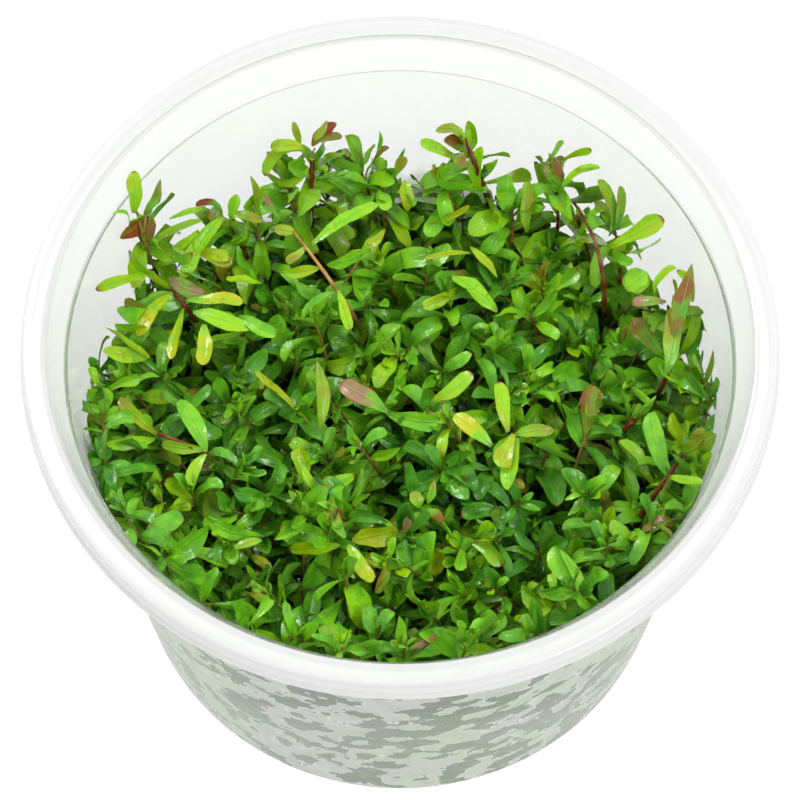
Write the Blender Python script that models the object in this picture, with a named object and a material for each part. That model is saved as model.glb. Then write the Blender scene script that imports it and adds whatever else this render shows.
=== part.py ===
"""Tissue-culture cup of green stem plants: a tapered see-through cup with a wide lid rim, a disc of
clear nutrient gel in its base, and plantlets that stand on the gel, each a stem with crossed pairs of
leaves. Metres, +Z up, origin at the centre of the cup's underside."""

import math
import random

import bmesh
import bpy
from mathutils import Vector

# Cup, outside sizes
RIM_RADIUS = 0.0500
CUP_HEIGHT = 0.0680
BASE_RADIUS = 0.0379
WALL = 0.0010

# Lid rim: a flat ring between the crest and the outer edge, and a short skirt with a bead
CREST_RADIUS = 0.0467
SKIRT_DEPTH = 0.0037
BEAD_HEIGHT = 0.0012
BEAD_PROUD = 0.0003
RIM_WALL = 0.0013
EDGE_ROUND = 0.0006

# Lid seat: the crease where the straight wall ends and the steep lid seat begins
SEAT_RADIUS = 0.04395
SEAT_HEIGHT = 0.0624
SEAT_STEP = 0.00025

# Base: a standing ring round a slightly raised floor
CORNER_OUTER = 0.0024
CORNER_INNER = 0.0020
RING_INNER_RADIUS = 0.0335
BASE_RAISE = 0.0007
RAISE_SLOPE = 0.0010
FLOOR_TOP = 0.0019

# Nutrient gel
GEL_TOP = 0.0120
GEL_CORNER = 0.0022
GAP = 0.0003
WALL_GAP = 0.0004

# Plantlets: rings of (radius, number, turn of the first one in degrees)
RINGS = ((0.0, 1, 0.0), (0.0118, 6, 12.0), (0.0232, 12, 3.0), (0.0338, 18, 16.0))
FOOT_SHIFT = 0.0014
OUTER_SHIFT = 0.0004
COMMON_TOP = 0.0440
TOP_SPREAD = 0.0020
# The mat falls off towards the back, +Y
MAT_SLOPE = 0.08
# The back of the outer ring stands taller and leans on the wall, from the right round to the left
TALL_TOPS = (0.0580, 0.0535, 0.0560, 0.0525, 0.0490, 0.0545, 0.0525, 0.0600)
TALL_LEAN = 0.0012
LEAN_SPREAD = 0.0012

# Stem and leaves
STEM_HALF = 0.0007
STEM_TIP_HALF = 0.0004
LEAF_BASE_HEIGHT = 0.0011
LEAF_LENGTH = 0.0092
LEAF_WIDTH = 0.0046
LEAF_THICK = 0.0006
WIDEST_AT = 0.56
NODE_SHARES = (0.27, 0.52, 0.72, 0.87, 0.96)
TALL_NODE_SHARES = (0.24, 0.45, 0.62, 0.76, 0.88, 0.96)
TWIST = 45.0
LEAF_RISE = (40.0, 10.0)
TOP_LEAF_RISE = (58.0, 34.0)
STEEPER_STEP = 6.0
STEEPEST = 84.0
SHORTER_STEP = 0.93

CUP_SIDES = 48
ARC_STEPS = 2
SEED = 7


def material(name, colour, roughness, alpha=1.0):
    """A Principled BSDF material."""
    made = bpy.data.materials.new(name)
    made.use_nodes = True
    shader = made.node_tree.nodes["Principled BSDF"]
    shader.inputs["Base Color"].default_value = (*colour, 1.0)
    shader.inputs["Roughness"].default_value = roughness
    shader.inputs["Metallic"].default_value = 0.0
    shader.inputs["Alpha"].default_value = alpha
    return made


def add_object(name, mesh, finish):
    """Links a mesh to the scene as one named part."""
    part = bpy.data.objects.new(name, mesh)
    bpy.context.scene.collection.objects.link(part)
    mesh.materials.append(finish)
    return part


def arc(centre_r, centre_z, radius, start, end, steps=ARC_STEPS):
    """Points of a round corner in the turned profile, from one angle to another in degrees."""
    points = []
    for i in range(steps + 1):
        angle = math.radians(start + (end - start) * i / steps)
        points.append((centre_r + radius * math.cos(angle), centre_z + radius * math.sin(angle)))
    return points


def inner_wall(z):
    """Inside radius of the cup at a height: a straight taper, then the lid seat."""
    bottom = BASE_RADIUS - WALL
    if z <= SEAT_HEIGHT:
        return bottom + (SEAT_RADIUS - bottom) * z / SEAT_HEIGHT
    share = (z - SEAT_HEIGHT) / (CUP_HEIGHT - SEAT_HEIGHT)
    return SEAT_RADIUS + (CREST_RADIUS - SEAT_RADIUS) * share


def outer_wall(z):
    return inner_wall(min(z, SEAT_HEIGHT)) + WALL


def turned(name, profile, finish):
    """A solid turned round Z from a profile that runs down its outer side."""
    mesh = bpy.data.meshes.new(name)
    edges = [(i, i + 1) for i in range(len(profile) - 1)]
    mesh.from_pydata([(r, 0.0, z) for r, z in profile], edges, [])
    part = add_object(name, mesh, finish)
    screw = part.modifiers.new("Turn", "SCREW")
    screw.axis = "Z"
    screw.steps = CUP_SIDES
    screw.render_steps = CUP_SIDES
    screw.use_merge_vertices = True
    screw.merge_threshold = 0.00002
    screw.use_smooth_shade = True
    return part


def make_cup(finish):
    """The cup: floor, tapered wall, lid seat, flat rim and skirt in one thin shell."""
    inner_corner_z = FLOOR_TOP + CORNER_INNER
    inner_corner_r = inner_wall(inner_corner_z) - CORNER_INNER
    outer_corner_r = outer_wall(CORNER_OUTER) - CORNER_OUTER
    skirt_radius = RIM_RADIUS - BEAD_PROUD
    skirt_foot = CUP_HEIGHT - SKIRT_DEPTH
    bead_top = skirt_foot + BEAD_HEIGHT
    channel_roof = CUP_HEIGHT - RIM_WALL
    seat_slope = (CREST_RADIUS - SEAT_RADIUS) / (CUP_HEIGHT - SEAT_HEIGHT)
    channel_inner = SEAT_RADIUS + SEAT_STEP + WALL + seat_slope * (channel_roof - SEAT_HEIGHT)
    profile = [(0.0, FLOOR_TOP)]
    profile += arc(inner_corner_r, inner_corner_z, CORNER_INNER, -90, 0)
    profile += [
        (SEAT_RADIUS, SEAT_HEIGHT),
        (SEAT_RADIUS + SEAT_STEP, SEAT_HEIGHT + SEAT_STEP),
        (CREST_RADIUS - EDGE_ROUND * 0.5, CUP_HEIGHT - EDGE_ROUND * 0.7),
        (CREST_RADIUS + EDGE_ROUND * 0.3, CUP_HEIGHT),
    ]
    profile += arc(skirt_radius - EDGE_ROUND, CUP_HEIGHT - EDGE_ROUND, EDGE_ROUND, 90, 0)
    profile += [
        (skirt_radius, bead_top + BEAD_PROUD),
        (RIM_RADIUS, bead_top),
        (RIM_RADIUS, skirt_foot + BEAD_PROUD),
        (RIM_RADIUS - BEAD_PROUD, skirt_foot),
        (RIM_RADIUS - RIM_WALL, skirt_foot),
        (RIM_RADIUS - RIM_WALL, channel_roof),
        (channel_inner, channel_roof),
        (SEAT_RADIUS + WALL + SEAT_STEP, SEAT_HEIGHT),
    ]
    profile += arc(outer_corner_r, CORNER_OUTER, CORNER_OUTER, 0, -90)
    profile += [
        (RING_INNER_RADIUS, 0.0),
        (RING_INNER_RADIUS - RAISE_SLOPE, BASE_RAISE),
        (0.0, BASE_RAISE),
    ]
    return turned("cup", profile, finish)


def make_gel(finish):
    """The clear gel that was poured into the cup, a thin gap off its floor and wall."""
    corner_z = FLOOR_TOP + GAP + GEL_CORNER
    corner_r = inner_wall(corner_z) - GAP - GEL_CORNER
    profile = [(0.0, GEL_TOP), (inner_wall(GEL_TOP) - GAP, GEL_TOP)]
    profile += arc(corner_r, corner_z, GEL_CORNER, 0, -90)
    profile.append((0.0, FLOOR_TOP + GAP))
    return turned("nutrient_gel", profile, finish)


def spread(z):
    """How much wider the cup, and with it the plants, stands at a height than on the gel."""
    return inner_wall(z) / inner_wall(GEL_TOP)


def plantlet_feet(dice):
    """Where each plantlet stands: rings round the middle, each foot moved a little."""
    feet = []
    for radius, number, turn in RINGS:
        for i in range(number):
            angle = math.radians(turn + 360.0 * i / number)
            shift = FOOT_SHIFT if radius < RINGS[-1][0] else OUTER_SHIFT
            feet.append(Vector((
                radius * math.cos(angle) + dice.uniform(-shift, shift),
                radius * math.sin(angle) + dice.uniform(-shift, shift),
            )))
    return feet


def room_of(foot, feet):
    """The room of one plantlet on the gel: the half-planes between it and its neighbours."""
    planes = []
    for other in feet:
        away = other - foot
        if away.length > 1e-6:
            planes.append(((foot + other) / 2, away.normalized()))
    return planes


def fits(points, planes):
    """Whether every point keeps clear of the neighbours' room and of the wall."""
    for point in points:
        flat = Vector((point.x, point.y))
        if flat.length > inner_wall(point.z) - WALL_GAP:
            return False
        flat /= spread(point.z)
        if any((flat - middle).dot(away) > -GAP / 2 for middle, away in planes):
            return False
    return True


def leaf_points(root, outward, length, rise):
    """Corners of a leaf's widest section and its tip, as it arches away from its stem."""
    across = Vector((-outward.y, outward.x, 0.0))
    up = Vector((0.0, 0.0, 1.0))
    lower = math.radians(rise[0])
    upper = math.radians(rise[1])
    along = outward * math.cos(lower) + up * math.sin(lower)
    middle = root + along * length * WIDEST_AT
    half_width = across * LEAF_WIDTH / 2 * (length / LEAF_LENGTH) ** 0.5
    half_thick = along.cross(across) * LEAF_THICK / 2
    tip = middle + (outward * math.cos(upper) + up * math.sin(upper)) * length * (1.0 - WIDEST_AT)
    return [
        middle - half_width - half_thick,
        middle + half_width - half_thick,
        middle + half_width + half_thick,
        middle - half_width + half_thick,
        tip,
    ]


def fitted_leaf(root, outward, rise, planes):
    """A leaf of full length, turned steeper and then made shorter until it keeps to its room."""
    length = LEAF_LENGTH
    start, end = rise
    points = leaf_points(root, outward, length, (start, end))
    while not fits(points, planes):
        if end < STEEPEST:
            start = min(start + STEEPER_STEP * 0.5, STEEPEST)
            end = min(end + STEEPER_STEP, STEEPEST)
        else:
            length *= SHORTER_STEP
        points = leaf_points(root, outward, length, (start, end))
    return points


def stem_ring(mesh, centre, half, turn):
    """Four corners of the square stem at one height."""
    corners = []
    for quarter in range(4):
        angle = turn + math.radians(45 + 90 * quarter)
        reach = half * math.sqrt(2)
        offset = Vector((math.cos(angle) * reach, math.sin(angle) * reach, 0.0))
        corners.append(mesh.verts.new(centre + offset))
    return corners


def bridge_rings(mesh, lower, upper):
    """Four side faces between two rings, each starting at its lower right corner from outside."""
    faces = []
    for i in range(4):
        after = (i + 1) % 4
        faces.append(mesh.faces.new((lower[i], lower[after], upper[after], upper[i])))
    return faces


def grow_leaf(mesh, face, points):
    """Extrudes a stem face to the leaf's widest section and draws that out to a point."""
    *section, tip = points
    face = bmesh.ops.extrude_discrete_faces(mesh, faces=[face])["faces"][0]
    for loop, corner in zip(face.loops, section):
        loop.vert.co = corner
    bmesh.ops.poke(mesh, faces=[face])["verts"][0].co = tip


def make_plantlet(name, foot, top, lean, turn, tall, planes, finish):
    """One plantlet: a square stem with leaf pairs, each pair a quarter turn from the last."""
    shares = TALL_NODE_SHARES if tall else NODE_SHARES
    base_z = GEL_TOP + GAP
    rise = top - base_z

    def spine(height):
        along = height / rise
        flat = foot * spread(base_z + height) + lean * along ** 1.5
        return Vector((flat.x, flat.y, base_z + height))

    mesh = bmesh.new()
    ring = stem_ring(mesh, spine(0.0), STEM_HALF, turn)
    mesh.faces.new(reversed(ring))
    leaves = []
    for level, share in enumerate(shares):
        height = share * rise - LEAF_BASE_HEIGHT
        half = STEM_HALF + (STEM_TIP_HALF - STEM_HALF) * share
        twisted = turn + math.radians(TWIST) * (level // 2 % 2)
        lower = stem_ring(mesh, spine(height), half, twisted)
        bridge_rings(mesh, ring, lower)
        ring = stem_ring(mesh, spine(height + LEAF_BASE_HEIGHT), half, twisted)
        sides = bridge_rings(mesh, lower, ring)
        is_top = level == len(shares) - 1
        for side in (level % 2, level % 2 + 2):
            leaves.append((sides[side], TOP_LEAF_RISE if is_top else LEAF_RISE))
    tip = stem_ring(mesh, spine(rise), STEM_TIP_HALF * 0.5, twisted)
    bridge_rings(mesh, ring, tip)
    mesh.faces.new(tip)
    mesh.normal_update()
    for face, leaf_rise in leaves:
        outward = Vector((face.normal.x, face.normal.y, 0.0)).normalized()
        grow_leaf(mesh, face, fitted_leaf(face.calc_center_median(), outward, leaf_rise, planes))
    made = bpy.data.meshes.new(name)
    mesh.to_mesh(made)
    mesh.free()
    return add_object(name, made, finish)


def make_plantlets(finish):
    """All the plantlets, numbered from the middle outwards."""
    dice = random.Random(SEED)
    feet = plantlet_feet(dice)
    first_outer = len(feet) - RINGS[-1][1]
    for number, foot in enumerate(feet):
        top = COMMON_TOP - MAT_SLOPE * foot.y + dice.uniform(-TOP_SPREAD, TOP_SPREAD)
        lean = Vector((dice.uniform(-1, 1), dice.uniform(-1, 1))) * LEAN_SPREAD
        place = number - first_outer
        tall = 0 <= place < len(TALL_TOPS)
        if tall:
            top = TALL_TOPS[place]
            lean = foot.normalized() * TALL_LEAN
        turn = dice.uniform(0.0, math.pi / 2)
        name = f"plantlet_{number + 1:02d}"
        make_plantlet(name, foot, top, lean, turn, tall, room_of(foot, feet), finish)


def main():
    for old in list(bpy.data.objects):
        bpy.data.objects.remove(old)
    make_cup(material("clear_polypropylene", (0.93, 0.95, 0.94), 0.30, 0.45))
    make_gel(material("nutrient_gel", (0.82, 0.86, 0.78), 0.12, 0.60))
    make_plantlets(material("leaf_green", (0.16, 0.42, 0.04), 0.40))


main()
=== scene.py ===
# %% [markdown]
# # A tissue-culture cup of green stem plants
#
# The real object is a thin see-through plastic cup without its lid. Clear nutrient gel lies in its base,
# and dozens of small green shoots grow from it until they crowd into one leafy mat below the rim.
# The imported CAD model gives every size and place. This lesson dresses it: a finer cup, the gel, and
# shoots grown leaf by leaf in place of the plain CAD plantlets.

# %% Load the frame
import math
import random

import bpy
import numpy as np
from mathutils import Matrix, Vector


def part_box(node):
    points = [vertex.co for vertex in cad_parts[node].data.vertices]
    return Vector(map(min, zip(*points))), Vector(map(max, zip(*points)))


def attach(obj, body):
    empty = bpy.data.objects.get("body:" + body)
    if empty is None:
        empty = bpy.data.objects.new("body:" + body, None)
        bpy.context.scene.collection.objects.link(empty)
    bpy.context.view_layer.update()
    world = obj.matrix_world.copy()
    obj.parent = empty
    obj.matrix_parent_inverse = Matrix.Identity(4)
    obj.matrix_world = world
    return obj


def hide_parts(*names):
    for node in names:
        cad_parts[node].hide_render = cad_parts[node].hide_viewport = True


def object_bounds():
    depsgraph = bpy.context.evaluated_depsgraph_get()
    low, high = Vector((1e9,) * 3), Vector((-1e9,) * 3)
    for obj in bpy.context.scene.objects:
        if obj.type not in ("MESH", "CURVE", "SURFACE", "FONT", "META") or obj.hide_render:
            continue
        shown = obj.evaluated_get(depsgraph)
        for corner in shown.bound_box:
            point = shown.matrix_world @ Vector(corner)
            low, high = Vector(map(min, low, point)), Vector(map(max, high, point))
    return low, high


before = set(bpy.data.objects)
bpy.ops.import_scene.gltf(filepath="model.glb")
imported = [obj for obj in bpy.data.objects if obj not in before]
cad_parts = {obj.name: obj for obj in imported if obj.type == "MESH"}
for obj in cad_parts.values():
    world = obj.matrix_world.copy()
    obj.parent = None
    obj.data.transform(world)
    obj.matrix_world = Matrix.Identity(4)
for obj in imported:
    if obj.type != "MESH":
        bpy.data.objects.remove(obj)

cad_low, cad_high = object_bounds()
bpy.ops.object.select_all(action="DESELECT")
print("CAD box in mm:", [round(1000 * v, 1) for v in (*cad_low, *cad_high)])

# %% [markdown]
# ## Sizes
#
# The cup's outside comes from the CAD nodes' own boxes. Only what a box can't tell, such as where the lid
# seat begins, is a named value here, the same as in the source of the solids. The rim stays a hair inside
# the CAD's own. A small helper gives the inside radius at any height, because the plants press against that
# wall and may not pass it.

# %% Sizes of the cup
MM = 0.001
HAIR = 0.002 * MM
RIM_RADIUS = cad_high.x - HAIR
CUP_HEIGHT = cad_high.z
BASE_RADIUS = 37.9 * MM
WALL = 1.0 * MM
CREST_RADIUS = 46.7 * MM
SEAT_RADIUS = 43.95 * MM
SEAT_HEIGHT = 62.4 * MM
SEAT_STEP = 0.25 * MM
SKIRT_DEPTH = 3.7 * MM
BEAD_HEIGHT = 1.2 * MM
BEAD_PROUD = 0.3 * MM
RIM_WALL = 1.3 * MM
EDGE_ROUND = 0.6 * MM
FLOOR_TOP = 1.9 * MM
STANDING_RING = (33.5 * MM, 32.5 * MM)
FLOOR_LIFT = 0.7 * MM
GEL_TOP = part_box("nutrient_gel")[1].z
CLEAR_OF_WALL = 0.35 * MM


def inner_wall(z):
    """Inside radius of the cup at a height, which may be one number or an array."""
    bottom = BASE_RADIUS - WALL
    straight = bottom + (SEAT_RADIUS - bottom) * np.minimum(z, SEAT_HEIGHT) / SEAT_HEIGHT
    seat = np.maximum(z - SEAT_HEIGHT, 0.0) / (CUP_HEIGHT - SEAT_HEIGHT)
    return straight + (CREST_RADIUS - SEAT_RADIUS) * seat


print("inside radius at the gel and at the seat, mm:", round(1000 * inner_wall(GEL_TOP), 2),
      round(1000 * inner_wall(SEAT_HEIGHT), 2))

# %% [markdown]
# ## Camera
#
# The photo looks down into the cup from the front. A perspective camera was fitted to the ellipses of the
# rim, the crease and the base, which gave its distance, its height above the horizon and its lens. The same
# camera also works backwards: it tells which point of the cup a place in the photo shows.

# %% Camera
CAMERA_DISTANCE = 0.500
CAMERA_ELEVATION = math.radians(63.26)
AIM_HEIGHT = 49.1 * MM
LENS_MM = 165.9
SENSOR_MM = 36.0
PHOTO_PIXELS = 800

camera_data = bpy.data.cameras.new("photo_camera")
camera_data.lens = LENS_MM
camera_data.sensor_width = SENSOR_MM
camera = bpy.data.objects.new("photo_camera", camera_data)
bpy.context.scene.collection.objects.link(camera)
camera.location = (
    0.0,
    -CAMERA_DISTANCE * math.cos(CAMERA_ELEVATION),
    AIM_HEIGHT + CAMERA_DISTANCE * math.sin(CAMERA_ELEVATION),
)
camera.rotation_euler = (math.pi / 2 - CAMERA_ELEVATION, 0.0, 0.0)
bpy.context.scene.camera = camera
print("camera at", [round(v, 3) for v in camera.location])


# %% From the photo to the cup
def seen_at(px, py, height_mm):
    """The point at a height, in mm, that the camera sees at a place in the photo."""
    half = SENSOR_MM / 2 / LENS_MM
    ray = Vector(((px / PHOTO_PIXELS * 2 - 1) * half, (1 - py / PHOTO_PIXELS * 2) * half, -1.0))
    ray.rotate(camera.rotation_euler)
    reach = (camera.location.z - height_mm * MM) / -ray.z
    return camera.location + ray * reach


print("the photo's middle at mat height, mm:", [round(1000 * v, 1) for v in seen_at(400, 400, 47)])

# %% [markdown]
# ## Writing materials
#
# A material here is a small node tree. These helpers add a node, wire it and give it its numbers, so that
# each material below reads as one list of steps. Each starts from the Principled shader.


# %% Material helpers
def new_material(name):
    """A new material, its node tree and its Principled shader, ready to wire."""
    made = bpy.data.materials.new(name)
    made.use_nodes = True
    tree = made.node_tree
    return made, tree, tree.nodes["Principled BSDF"]


def set_inputs(node, **values):
    """Gives a node or a shader its numbers and colours, by socket name with _ for a space."""
    for key, value in values.items():
        node.inputs[key.replace("_", " ")].default_value = value


def add_node(tree, kind, settings=None, **values):
    """A node with its settings, and its input values by socket name."""
    node = tree.nodes.new(kind)
    for key, value in (settings or {}).items():
        setattr(node, key, value)
    set_inputs(node, **values)
    return node


def wire(tree, source, target):
    """Links a node's output to an input."""
    tree.links.new(source, target)


print("a node is added with its settings and values in one call")

# %% [markdown]
# ## Studio
#
# The photo is a product picture on white: soft light from everywhere and hardly a shadow. A white world
# gives that, and the Standard view keeps the greens as strong as the photo's. Light bounces six times at
# most, which is enough to pass both walls of the cup, and the render may stop early where the picture is
# already smooth. Both save time.

# %% World and view
WHITE = (1.0, 1.0, 1.0, 1.0)
WORLD_STRENGTH = 0.87
BOUNCES = 6
SURFACE_BOUNCES = 2
SMOOTH_ENOUGH = 0.10

scene = bpy.context.scene
scene.view_settings.view_transform = "Standard"
scene.view_settings.look = "None"
scene.cycles.max_bounces = BOUNCES
scene.cycles.transmission_bounces = BOUNCES
scene.cycles.diffuse_bounces = SURFACE_BOUNCES
scene.cycles.glossy_bounces = SURFACE_BOUNCES
scene.cycles.adaptive_threshold = SMOOTH_ENOUGH

world = bpy.data.worlds.new("studio_white")
scene.world = world
world.use_nodes = True
set_inputs(world.node_tree.nodes["Background"], Color=WHITE, Strength=WORLD_STRENGTH)
print("the world's strength is", WORLD_STRENGTH, "and light bounces", BOUNCES, "times at most")

# %% [markdown]
# ## Lamps and floor
#
# Two soft lamps high up add the small wet highlights on the leaves. The floor is a light table, which stays
# whiter than the cup and takes no shadow, as in a photo cut out on white, so its material glows.


# %% Lamps
def soft_lamp(name, place, size, watts):
    """A square soft lamp that faces the plants."""
    data = bpy.data.lights.new(name, "AREA")
    data.size = size
    data.energy = watts
    lamp = bpy.data.objects.new(name, data)
    scene.collection.objects.link(lamp)
    lamp.location = place
    lamp.rotation_euler = (Vector((0, 0, AIM_HEIGHT)) - Vector(place)).to_track_quat("-Z", "Y").to_euler()
    return lamp


lamps = [
    soft_lamp("window_back_left", (-0.30, 0.40, 0.80), 0.16, 2.6),
    soft_lamp("fill_front_right", (0.42, -0.34, 0.72), 0.22, 2.1),
]
print("lamps:", [lamp.name for lamp in lamps])

# %% Floor
FLOOR_SIZE = 4.0
FLOOR_SHINE = 1.10

bpy.ops.mesh.primitive_plane_add(size=FLOOR_SIZE)
floor = bpy.context.object
floor.name = "floor"
light_table, tree, shader = new_material("light_table")
set_inputs(shader, Base_Color=(0.10, 0.10, 0.10, 1.0), Roughness=0.9, Specular_IOR_Level=0.1,
           Emission_Color=WHITE, Emission_Strength=FLOOR_SHINE)
floor.data.materials.append(light_table)
print("the floor is", FLOOR_SIZE, "m wide")

# %% [markdown]
# ## Patterns from numbers
#
# Blotches, droplets and edges all start as one number that varies over the surface: noise, a height or a
# distance. Stretching that number between two limits makes an edge that is soft or sharp, and mixing two
# colours by it paints it. Each of these steps is one or two nodes, so each gets a short helper.


# %% Numbers that vary over a surface
def object_place(tree):
    """The place on the piece, which stays with it when it moves."""
    return add_node(tree, "ShaderNodeTexCoord").outputs["Object"]


def noise(tree, source, scale, detail=3.0, roughness=0.5):
    """Noise over the given coordinates."""
    node = add_node(tree, "ShaderNodeTexNoise", Scale=scale, Detail=detail, Roughness=roughness)
    wire(tree, source, node.inputs["Vector"])
    return node.outputs["Fac"]


def remap(tree, source, low, high, to_low=0.0, to_high=1.0):
    """Stretches a value from one range to another, and holds it there."""
    node = add_node(tree, "ShaderNodeMapRange", {"interpolation_type": "SMOOTHSTEP"},
                    From_Min=low, From_Max=high, To_Min=to_low, To_Max=to_high)
    wire(tree, source, node.inputs["Value"])
    return node.outputs["Result"]


print("a pattern is noise over a place, stretched between two limits")


# %% Sums on those numbers
def math_node(tree, operation, first, second):
    """One sum on two values, each a socket or a number."""
    node = add_node(tree, "ShaderNodeMath", {"operation": operation})
    for socket, value in zip(node.inputs, (first, second)):
        if isinstance(value, (int, float)):
            socket.default_value = value
        else:
            wire(tree, value, socket)
    return node.outputs["Value"]


def plus(tree, first, second):
    return math_node(tree, "ADD", first, second)


def minus(tree, first, second):
    return math_node(tree, "SUBTRACT", first, second)


def times(tree, first, second):
    return math_node(tree, "MULTIPLY", first, second)


def larger(tree, first, second):
    return math_node(tree, "MAXIMUM", first, second)


def less_in(tree, zone, value, amount):
    """A value that is smaller by an amount where a zone is one."""
    return minus(tree, value, times(tree, zone, amount))


print("sums take sockets and plain numbers alike")


# %% Colours and relief from those numbers
def blend_colour(tree, share, first, second):
    """Two colours mixed by a value. Each colour is a socket or three numbers."""
    node = add_node(tree, "ShaderNodeMix", {"data_type": "RGBA"})
    wire(tree, share, node.inputs["Factor"])
    for socket, value in ((node.inputs[6], first), (node.inputs[7], second)):
        if isinstance(value, tuple):
            socket.default_value = (*value, 1.0)
        else:
            wire(tree, value, socket)
    return node.outputs[2]


def paint_over(tree, colour, layers):
    """A colour with others laid over it in turn, each by its own share."""
    for share, paint in layers:
        colour = blend_colour(tree, share, colour, paint)
    return colour


def bump(tree, height, distance, shader, strength):
    """Fine relief on a shader."""
    node = add_node(tree, "ShaderNodeBump", Strength=strength, Distance=distance)
    wire(tree, height, node.inputs["Height"])
    wire(tree, node.outputs["Normal"], shader.inputs["Normal"])


def srgb(red, green, blue):
    """A colour as an eye-dropper reads it, 0 to 255, as the linear values that a shader takes."""
    return tuple((v / 255 / 12.92) if v < 11 else ((v / 255 + 0.055) / 1.055) ** 2.4
                 for v in (red, green, blue))


print("a mid green as linear values:", [round(v, 3) for v in srgb(79, 119, 32)])

# %% [markdown]
# ## Cup
#
# The cup is injection-moulded polypropylene: one thin shell, turned about its axis. It could be made as
# two nested cones, but the real rim has a crease, a sloping lid seat, a flat ring and a beaded skirt, so
# its half-section is drawn as a chain of points and spun round, as on a lathe. The corners are rounded
# by formula, and the spin has many more steps than the CAD solid, so that the rim is round to the eye.


# %% Round corners
def arc(centre_r, centre_z, radius, start, end, steps=5):
    """Points of a round corner, from one angle to another in degrees."""
    points = []
    for i in range(steps + 1):
        angle = math.radians(start + (end - start) * i / steps)
        points.append((centre_r + radius * math.cos(angle), centre_z + radius * math.sin(angle)))
    return points


print("a corner of 1 mm:", [(round(r, 2), round(z, 2)) for r, z in arc(0, 0, 1, 0, 90)])

# %% Draw the half-section
CREST_EASE = ((0.40, 0.55), (0.12, 0.12), (-0.20, 0.0))


def cup_section():
    """The half-section, from the floor's middle up the inside, over the rim and down the outside."""
    corner_in, corner_out = 2.0 * MM, 2.4 * MM
    inner_z = FLOOR_TOP + corner_in
    skirt_radius = RIM_RADIUS - BEAD_PROUD
    skirt_foot = CUP_HEIGHT - SKIRT_DEPTH
    bead_top = skirt_foot + BEAD_HEIGHT
    roof = CUP_HEIGHT - RIM_WALL
    slope = (CREST_RADIUS - SEAT_RADIUS) / (CUP_HEIGHT - SEAT_HEIGHT)
    channel = SEAT_RADIUS + SEAT_STEP + WALL + slope * (roof - SEAT_HEIGHT)
    small = 0.12 * MM
    points = [(0.0, FLOOR_TOP)]
    points += arc(inner_wall(inner_z) - corner_in, inner_z, corner_in, -90, 0)
    points += [
        (SEAT_RADIUS, SEAT_HEIGHT - small),
        (SEAT_RADIUS + small, SEAT_HEIGHT),
        (SEAT_RADIUS + SEAT_STEP, SEAT_HEIGHT + SEAT_STEP),
    ]
    points += [(CREST_RADIUS - inside * MM, CUP_HEIGHT - below * MM) for inside, below in CREST_EASE]
    points += arc(skirt_radius - EDGE_ROUND, CUP_HEIGHT - EDGE_ROUND, EDGE_ROUND, 90, 0)
    points += [
        (skirt_radius, bead_top + BEAD_PROUD),
        (RIM_RADIUS - small, bead_top),
        (RIM_RADIUS, bead_top - 2 * small),
        (RIM_RADIUS, skirt_foot + BEAD_PROUD),
        (RIM_RADIUS - BEAD_PROUD, skirt_foot),
        (RIM_RADIUS - RIM_WALL, skirt_foot),
        (RIM_RADIUS - RIM_WALL, roof - small),
        (RIM_RADIUS - RIM_WALL - small, roof),
        (channel, roof),
        (SEAT_RADIUS + WALL + SEAT_STEP, SEAT_HEIGHT),
        (SEAT_RADIUS + WALL, SEAT_HEIGHT - 4 * small),
    ]
    outer = inner_wall(corner_out) + WALL
    points += arc(outer - corner_out, corner_out, corner_out, 0, -90)
    points += [(STANDING_RING[0], 0.0), (STANDING_RING[1], FLOOR_LIFT), (0.0, FLOOR_LIFT)]
    return points


print("half-section has", len(cup_section()), "points")

# %% [markdown]
# ## Spinning it
#
# A real cup mould is turned on a lathe. Here one vertex is pushed along the half-section by extruding it, and
# the Spin operator turns that line once round the axis. Spin leaves doubles where it meets itself and on the
# axis, so they are merged, and the normals are then recalculated to point out of the plastic. The gel is
# made with the same function.

# %% Spin a half-section
MERGE_WITHIN = 0.01 * MM
SMOOTH_BELOW = math.radians(30)


def spun(name, section, steps):
    """A closed turned solid: one vertex is extruded along the half-section, and that line is spun."""
    bpy.ops.object.select_all(action="DESELECT")
    bpy.ops.mesh.primitive_plane_add(size=1.0)
    made = bpy.context.object
    made.name = name
    bpy.ops.object.mode_set(mode="EDIT")
    bpy.ops.mesh.select_all(action="SELECT")
    bpy.ops.mesh.merge(type="CENTER")
    bpy.ops.transform.translate(value=(section[0][0], 0.0, section[0][1]))
    for (r0, z0), (r1, z1) in zip(section, section[1:]):
        bpy.ops.mesh.extrude_region_move(TRANSFORM_OT_translate={"value": (r1 - r0, 0.0, z1 - z0)})
    bpy.ops.mesh.select_all(action="SELECT")
    bpy.ops.mesh.spin(steps=steps, angle=math.tau, center=(0, 0, 0), axis=(0, 0, 1))
    bpy.ops.mesh.select_all(action="SELECT")
    bpy.ops.mesh.remove_doubles(threshold=MERGE_WITHIN)
    bpy.ops.mesh.normals_make_consistent(inside=False)
    bpy.ops.object.mode_set(mode="OBJECT")
    bpy.ops.object.shade_smooth_by_angle(angle=SMOOTH_BELOW)
    return made


cup = spun("culture_cup", cup_section(), steps=180)
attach(cup, "root")
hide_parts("cup")
print("cup has", len(cup.data.polygons), "faces")

# %% [markdown]
# ## Cloudy plastic
#
# Polypropylene of this kind is clear but milky. Light goes through it, and a part of it scatters white, so
# the material is a transmitting Principled shader whose Transmission Weight is less than one. Below the
# mat's surface the inside is wet: where a leaf or water touches the wall the green shows through, and in
# between fine droplets turn it white. One noise, cut off sharply, makes those patches, and a cell pattern
# adds single drops round them. The wet reaches high in front, where the mat climbs the wall, and low at the
# back, and it never reaches the lid seat or the rim.

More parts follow.
